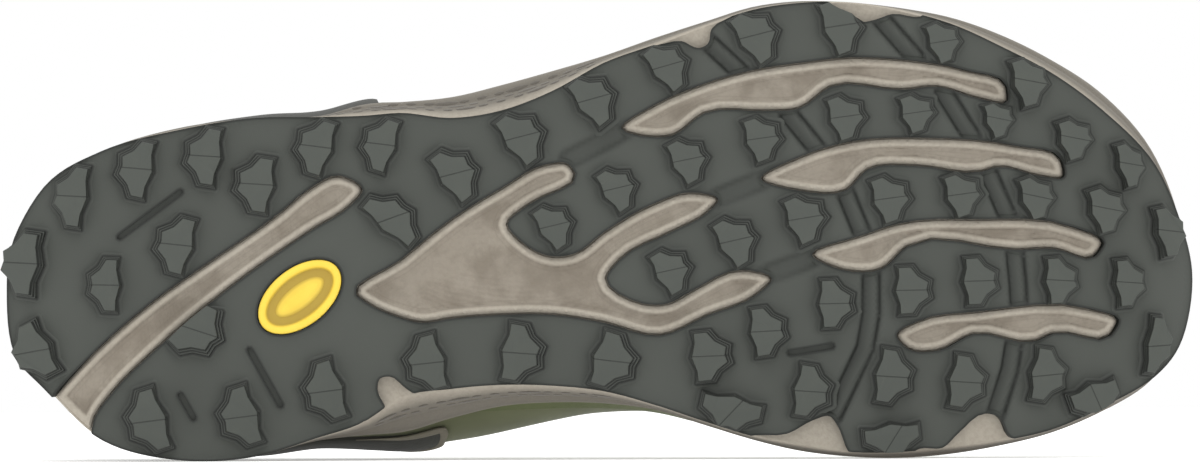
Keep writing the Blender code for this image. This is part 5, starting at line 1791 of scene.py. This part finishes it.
def strand_line(x_start, x_end, to_arch, hump):
    """A strand from one side's eyelet to the other's: its points and the ways out of the shoe."""
    off = OVERLAY_GAP + OVERLAY + LACE_DEPTH / 2 + 0.0002
    edge = 0.22
    points, ways = [], []
    for share in (0.0, 0.10, edge, 0.36, 0.5, 0.64, 1 - edge, 0.90, 1.0):
        x = x_start + (x_end - x_start) * share
        across = share if to_arch else 1 - share
        if across <= edge:
            point, way = throat_point(x, EYELET_INSET * (1 - across / edge), False, off)
        elif across >= 1 - edge:
            point, way = throat_point(x, EYELET_INSET * (1 - (1 - across) / edge), True, off)
        else:
            along = (across - edge) / (1 - 2 * edge)
            outer, arch = (throat_point(x, 0.0, side, off) for side in (False, True))
            point = outer[0] * (1 - along) + arch[0] * along
            way = outer[1] * (1 - along) + arch[1] * along
            way[0] *= 0.3
            point[2] += hump * math.sin(math.pi * along)
        points.append(point)
        ways.append(way / np.linalg.norm(way))
    for end, near in ((0, 1), (-1, -2)):
        hole = points[end] - ways[end] * (off + 0.0016)
        rim = points[end] * 0.75 + points[near] * 0.25 - ways[end] * 0.0002
        if end == 0:
            points[0:1] = [hole, rim]
            ways.insert(0, ways[0])
        else:
            points[-1:] = [rim, hole]
            ways.append(ways[-1])
    return np.array(points), np.array(ways)


def strand(shape, points, ways, start):
    """A flat woven strand along a line, gathered where it goes through its eyelets."""
    knots = np.concatenate([[0], np.cumsum(np.linalg.norm(np.diff(points, axis=0), axis=1))])
    at = np.linspace(0, knots[-1], 72)
    line = hermite(knots, points, at)
    way = hermite(knots, ways, at)
    along = np.gradient(line, axis=0)
    along /= np.linalg.norm(along, axis=1)[:, None]
    side = np.cross(along, way)
    side /= np.linalg.norm(side, axis=1)[:, None]
    way = np.cross(side, along)
    gap = np.minimum(at, at[-1] - at)
    open_ = ease(gap, 0.001, 0.009)
    width = LACE_WIDTH * (0.50 + 0.50 * open_) / 2
    depth = LACE_DEPTH * (1.35 - 0.35 * open_) / 2
    angles = 2 * math.pi * np.arange(20) / 20
    across = np.sign(np.cos(angles)) * np.abs(np.cos(angles)) ** 0.65
    rise = np.sign(np.sin(angles)) * np.abs(np.sin(angles)) ** 0.8
    rings = [
        p + np.outer(across * w, s) + np.outer(rise * d * (1 + 0.12 * np.cos(across * 9)), n)
        for p, s, n, w, d in zip(line, side, way, width, depth)
    ]

    def pattern(k, i):
        return start + at[k], across[i % 20] * LACE_WIDTH / 2

    loft(shape, rings, caps=True, uv=pattern)
    return knots[-1]


def make_lacing():
    front = EYELET_PLACES[0]
    runs = [(front, front, True, 0.0016)]
    to_arch = True
    for x_start, x_end in zip(EYELET_PLACES, EYELET_PLACES[1:]):
        runs.append((x_start, x_end, to_arch, 0.0034))
        runs.append((x_start, x_end, not to_arch, 0.0016))
        to_arch = not to_arch

    def build(shape):
        start = 0.0
        for run in runs:
            start += strand(shape, *strand_line(*run), start)

    return mesh_object("lacing", build)


def make_footbed():
    def build(shape):
        rings = []
        for inset, up in (
            (0.0008, 0.0), (0.0004, 0.4), (0.0003, 0.9), (0.0005, 1.10), (0.0010, 1.22),
            (0.0018, 1.26), (0.0030, 1.20), (0.0050, 1.08), (0.0080, 1.0), (0.0120, 0.99),
        ):
            spot = grown(OUTLINE.foam(AROUND), -RIM_WIDTH - inset)
            height = footbed(spot[:, 0]) + GAP + up * INSOLE
            rings.append(np.concatenate([spot, height[:, None]], axis=1))
        rows = loft(shape, rings)
        ladder(shape, rows[0])
        ladder(shape, rows[-1])

    return mesh_object("footbed", build)


def make_inlay():
    """A plain oval plate with a raised rim and a low plain dome."""
    x, y = placed(*INLAY_PLACE)
    rim = LUG_HEIGHT - INLAY_RISE / 2
    floor = LUG_HEIGHT + ISLAND_RECESS * 0.7
    steps = (
        (0.0, PLATE_BACK), (0.0, LUG_HEIGHT), (0.0001, rim + 0.0002), (0.0004, rim), (0.0015, rim),
        (0.0018, rim + 0.0002), (0.0021, floor - 0.0003), (0.0024, floor), (0.0040, floor),
    )

    def build(shape):
        rings = []
        for shrink, height in steps:
            ring = ellipse(x, y, INLAY_LENGTH - 2 * shrink, INLAY_WIDTH - 2 * shrink, INLAY_TURN)
            rings.append(np.concatenate([ring, np.full((len(ring), 1), height)], axis=1))
        loft(shape, rings, caps=True)
        dome = ((0.0, 0.0003), (0.0, 0.0), (0.0003, -0.0002), (0.0010, -0.0004), (0.0022, -0.00048))
        rings = []
        for shrink, height in dome:
            ring = ellipse(x, y, 0.0150 - 2 * shrink, 0.0062 - 2 * shrink, INLAY_TURN)
            rings.append(np.concatenate([ring, np.full((len(ring), 1), floor + height)], axis=1))
        loft(shape, rings, caps=True)

    inlay = mesh_object("inlay_plate", build)
    spots = coordinates(inlay)
    point_values(inlay, "dark", ease(spots[:, 2], rim + 0.0004, floor))
    return bend(inlay)


def seam(measures, share, off=0.0003, pitch=0.0030):
    """Stitches along a line of the upper: places, ways along and outward."""
    point, normal, _ = shell_face(measures, share, off)
    run = np.concatenate([[0], np.cumsum(np.linalg.norm(np.diff(point, axis=0), axis=1))])
    at = np.arange(pitch / 2, run[-1], pitch)
    spots = np.stack([np.interp(at, run, point[:, i]) for i in range(3)], axis=1)
    out = np.stack([np.interp(at, run, normal[:, i]) for i in range(3)], axis=1)
    along = np.stack([np.interp(at + 0.0005, run, point[:, i]) for i in range(3)], axis=1) - spots
    return spots, along, out


def all_seams(seams):
    return [np.concatenate([line[i] for line in seams]) for i in range(3)]


# The studio

LOOK_DISTANCE = 1.60
PICTURE_WIDTH = 0.3017
PICTURE_MIDDLE = (0.14960, -0.00465, 0.004)
SENSOR = 36


def make_camera():
    """Square on to the sole, as the photograph is taken, with the arch side down."""
    camera = bpy.data.objects.new("camera", bpy.data.cameras.new("camera"))
    SCENE.objects.link(camera)
    camera.data.sensor_width = SENSOR
    camera.data.lens = SENSOR * LOOK_DISTANCE / PICTURE_WIDTH
    camera.data.clip_start = 0.01
    turn = LYING.to_3x3() @ Matrix.Diagonal((1, -1, -1))
    middle = LYING @ Vector(PICTURE_MIDDLE)
    away = -(LYING.to_3x3() @ Vector((0, 0, 1)))
    camera.matrix_world = Matrix.Translation(middle + away * LOOK_DISTANCE) @ turn.to_4x4()
    bpy.context.scene.camera = camera


def make_light(name, spot, aim, size, power):
    lamp = bpy.data.lights.new(name, "AREA")
    lamp.size = size
    lamp.energy = power
    light = bpy.data.objects.new(name, lamp)
    light.location = spot
    light.rotation_euler = (Vector(aim) - Vector(spot)).to_track_quat("-Z", "Y").to_euler()
    SCENE.objects.link(light)


def make_studio():
    make_camera()
    plane = {"x_segments": 2, "y_segments": 2, "size": 6}
    floor = mesh_object("floor", lambda shape: bmesh.ops.create_grid(shape, **plane))
    floor.data.materials.append(FINISHES["floor"])
    SCENE.objects.link(floor)
    world = bpy.data.worlds.new("studio")
    world.use_nodes = True
    world.node_tree.nodes["Background"].inputs["Color"].default_value = (1, 1, 1, 1)
    world.node_tree.nodes["Background"].inputs["Strength"].default_value = 1.0
    bpy.context.scene.world = world
    bpy.context.scene.view_settings.view_transform = "Standard"
    make_light("from_above", (-0.15, -0.55, 1.1), (0, 0, 0.05), 0.9, 5)
    make_light("from_the_side", (0.9, 0.5, 0.8), (0, 0.05, 0.06), 0.8, 2)


# Length, width and rise of the small shapes that repeat. A rim has its radius and its wire's.
# STAY_TOP is how far they lie off the upper on the lace band. The seams lie this deep in the
# band's edges and under the collar's, which starts at COLLAR_FRONT.
SHORT_DASH = (0.0028, 0.0012, 0.0003)
LONG_DASH = (0.0064, 0.0015, 0.0003)
STITCH = (0.0024, 0.0006, 0.0005)
EYELET_RIM = (EYELET / 2, 0.00055, 0.0)
STAY_TOP = 0.0015
SEAM_INSET = 0.0022
COLLAR_SEAM_DEPTH = 0.0040
COLLAR_FRONT = 37.8


def make_dashes():
    short, long = foam_dashes()
    repeated("wall_dashes", SHORT_DASH, *short, "dash")
    repeated("long_dashes", LONG_DASH, *long, "dash")


def make_eyelet_rims():
    points, outs = (np.array(part) for part in zip(*eyelet_places(STAY_TOP)))
    lines = [throat_measures([x], side)[0] for side in (False, True) for x in EYELET_PLACES]
    _, _, ups = shell_face(np.array(lines), 0.9)
    repeated("eyelet_rims", EYELET_RIM, points, ups, outs, "dark_thread", ring=True)


def make_stitches():
    """Seams along both edges of the lace band and round the collar."""
    measures, _ = stay_measures()
    length = upper_length(measures)
    arch_end = throat_measures([COLLAR_FRONT], True)[0] - OUTLINE.total
    outer_end = throat_measures([COLLAR_FRONT], False)[0]
    collar_line = np.linspace(arch_end, outer_end, 160)
    seams = [
        seam(measures, 1 - (EYESTAY_WIDTH - SEAM_INSET) / length, STAY_TOP),
        seam(measures, 1 - SEAM_INSET / length, STAY_TOP),
        seam(collar_line, 1 - COLLAR_SEAM_DEPTH / upper_length(collar_line), 0.0002),
    ]
    repeated("stitches", STITCH, *all_seams(seams), "thread")


make_studio()
place(make_tread(), "rubber", "outsole", sharp=50)
place(make_inlay(), "inlay", "tread_inlay")
place(make_foam(), "foam", "midsole", sharp=40)
place(make_shell(), "knit", "upper", sharp=60)
collar = place(make_collar(), "lining", sharp=80)
counter, trim = make_counter()
place(counter, "counter", "heel_counter")
place(trim, "trim", "counter_trim")
place(make_guard(), "film", "mudguard")
place(make_stay(), "stay", "eyestay")
tongue = place(make_tongue(), "pad", "tongue", sharp=60)
place(make_lacing(), "lace", "lace", sharp=60)
place(make_footbed(), "bed", "insole")

make_dashes()
make_eyelet_rims()
make_stitches()
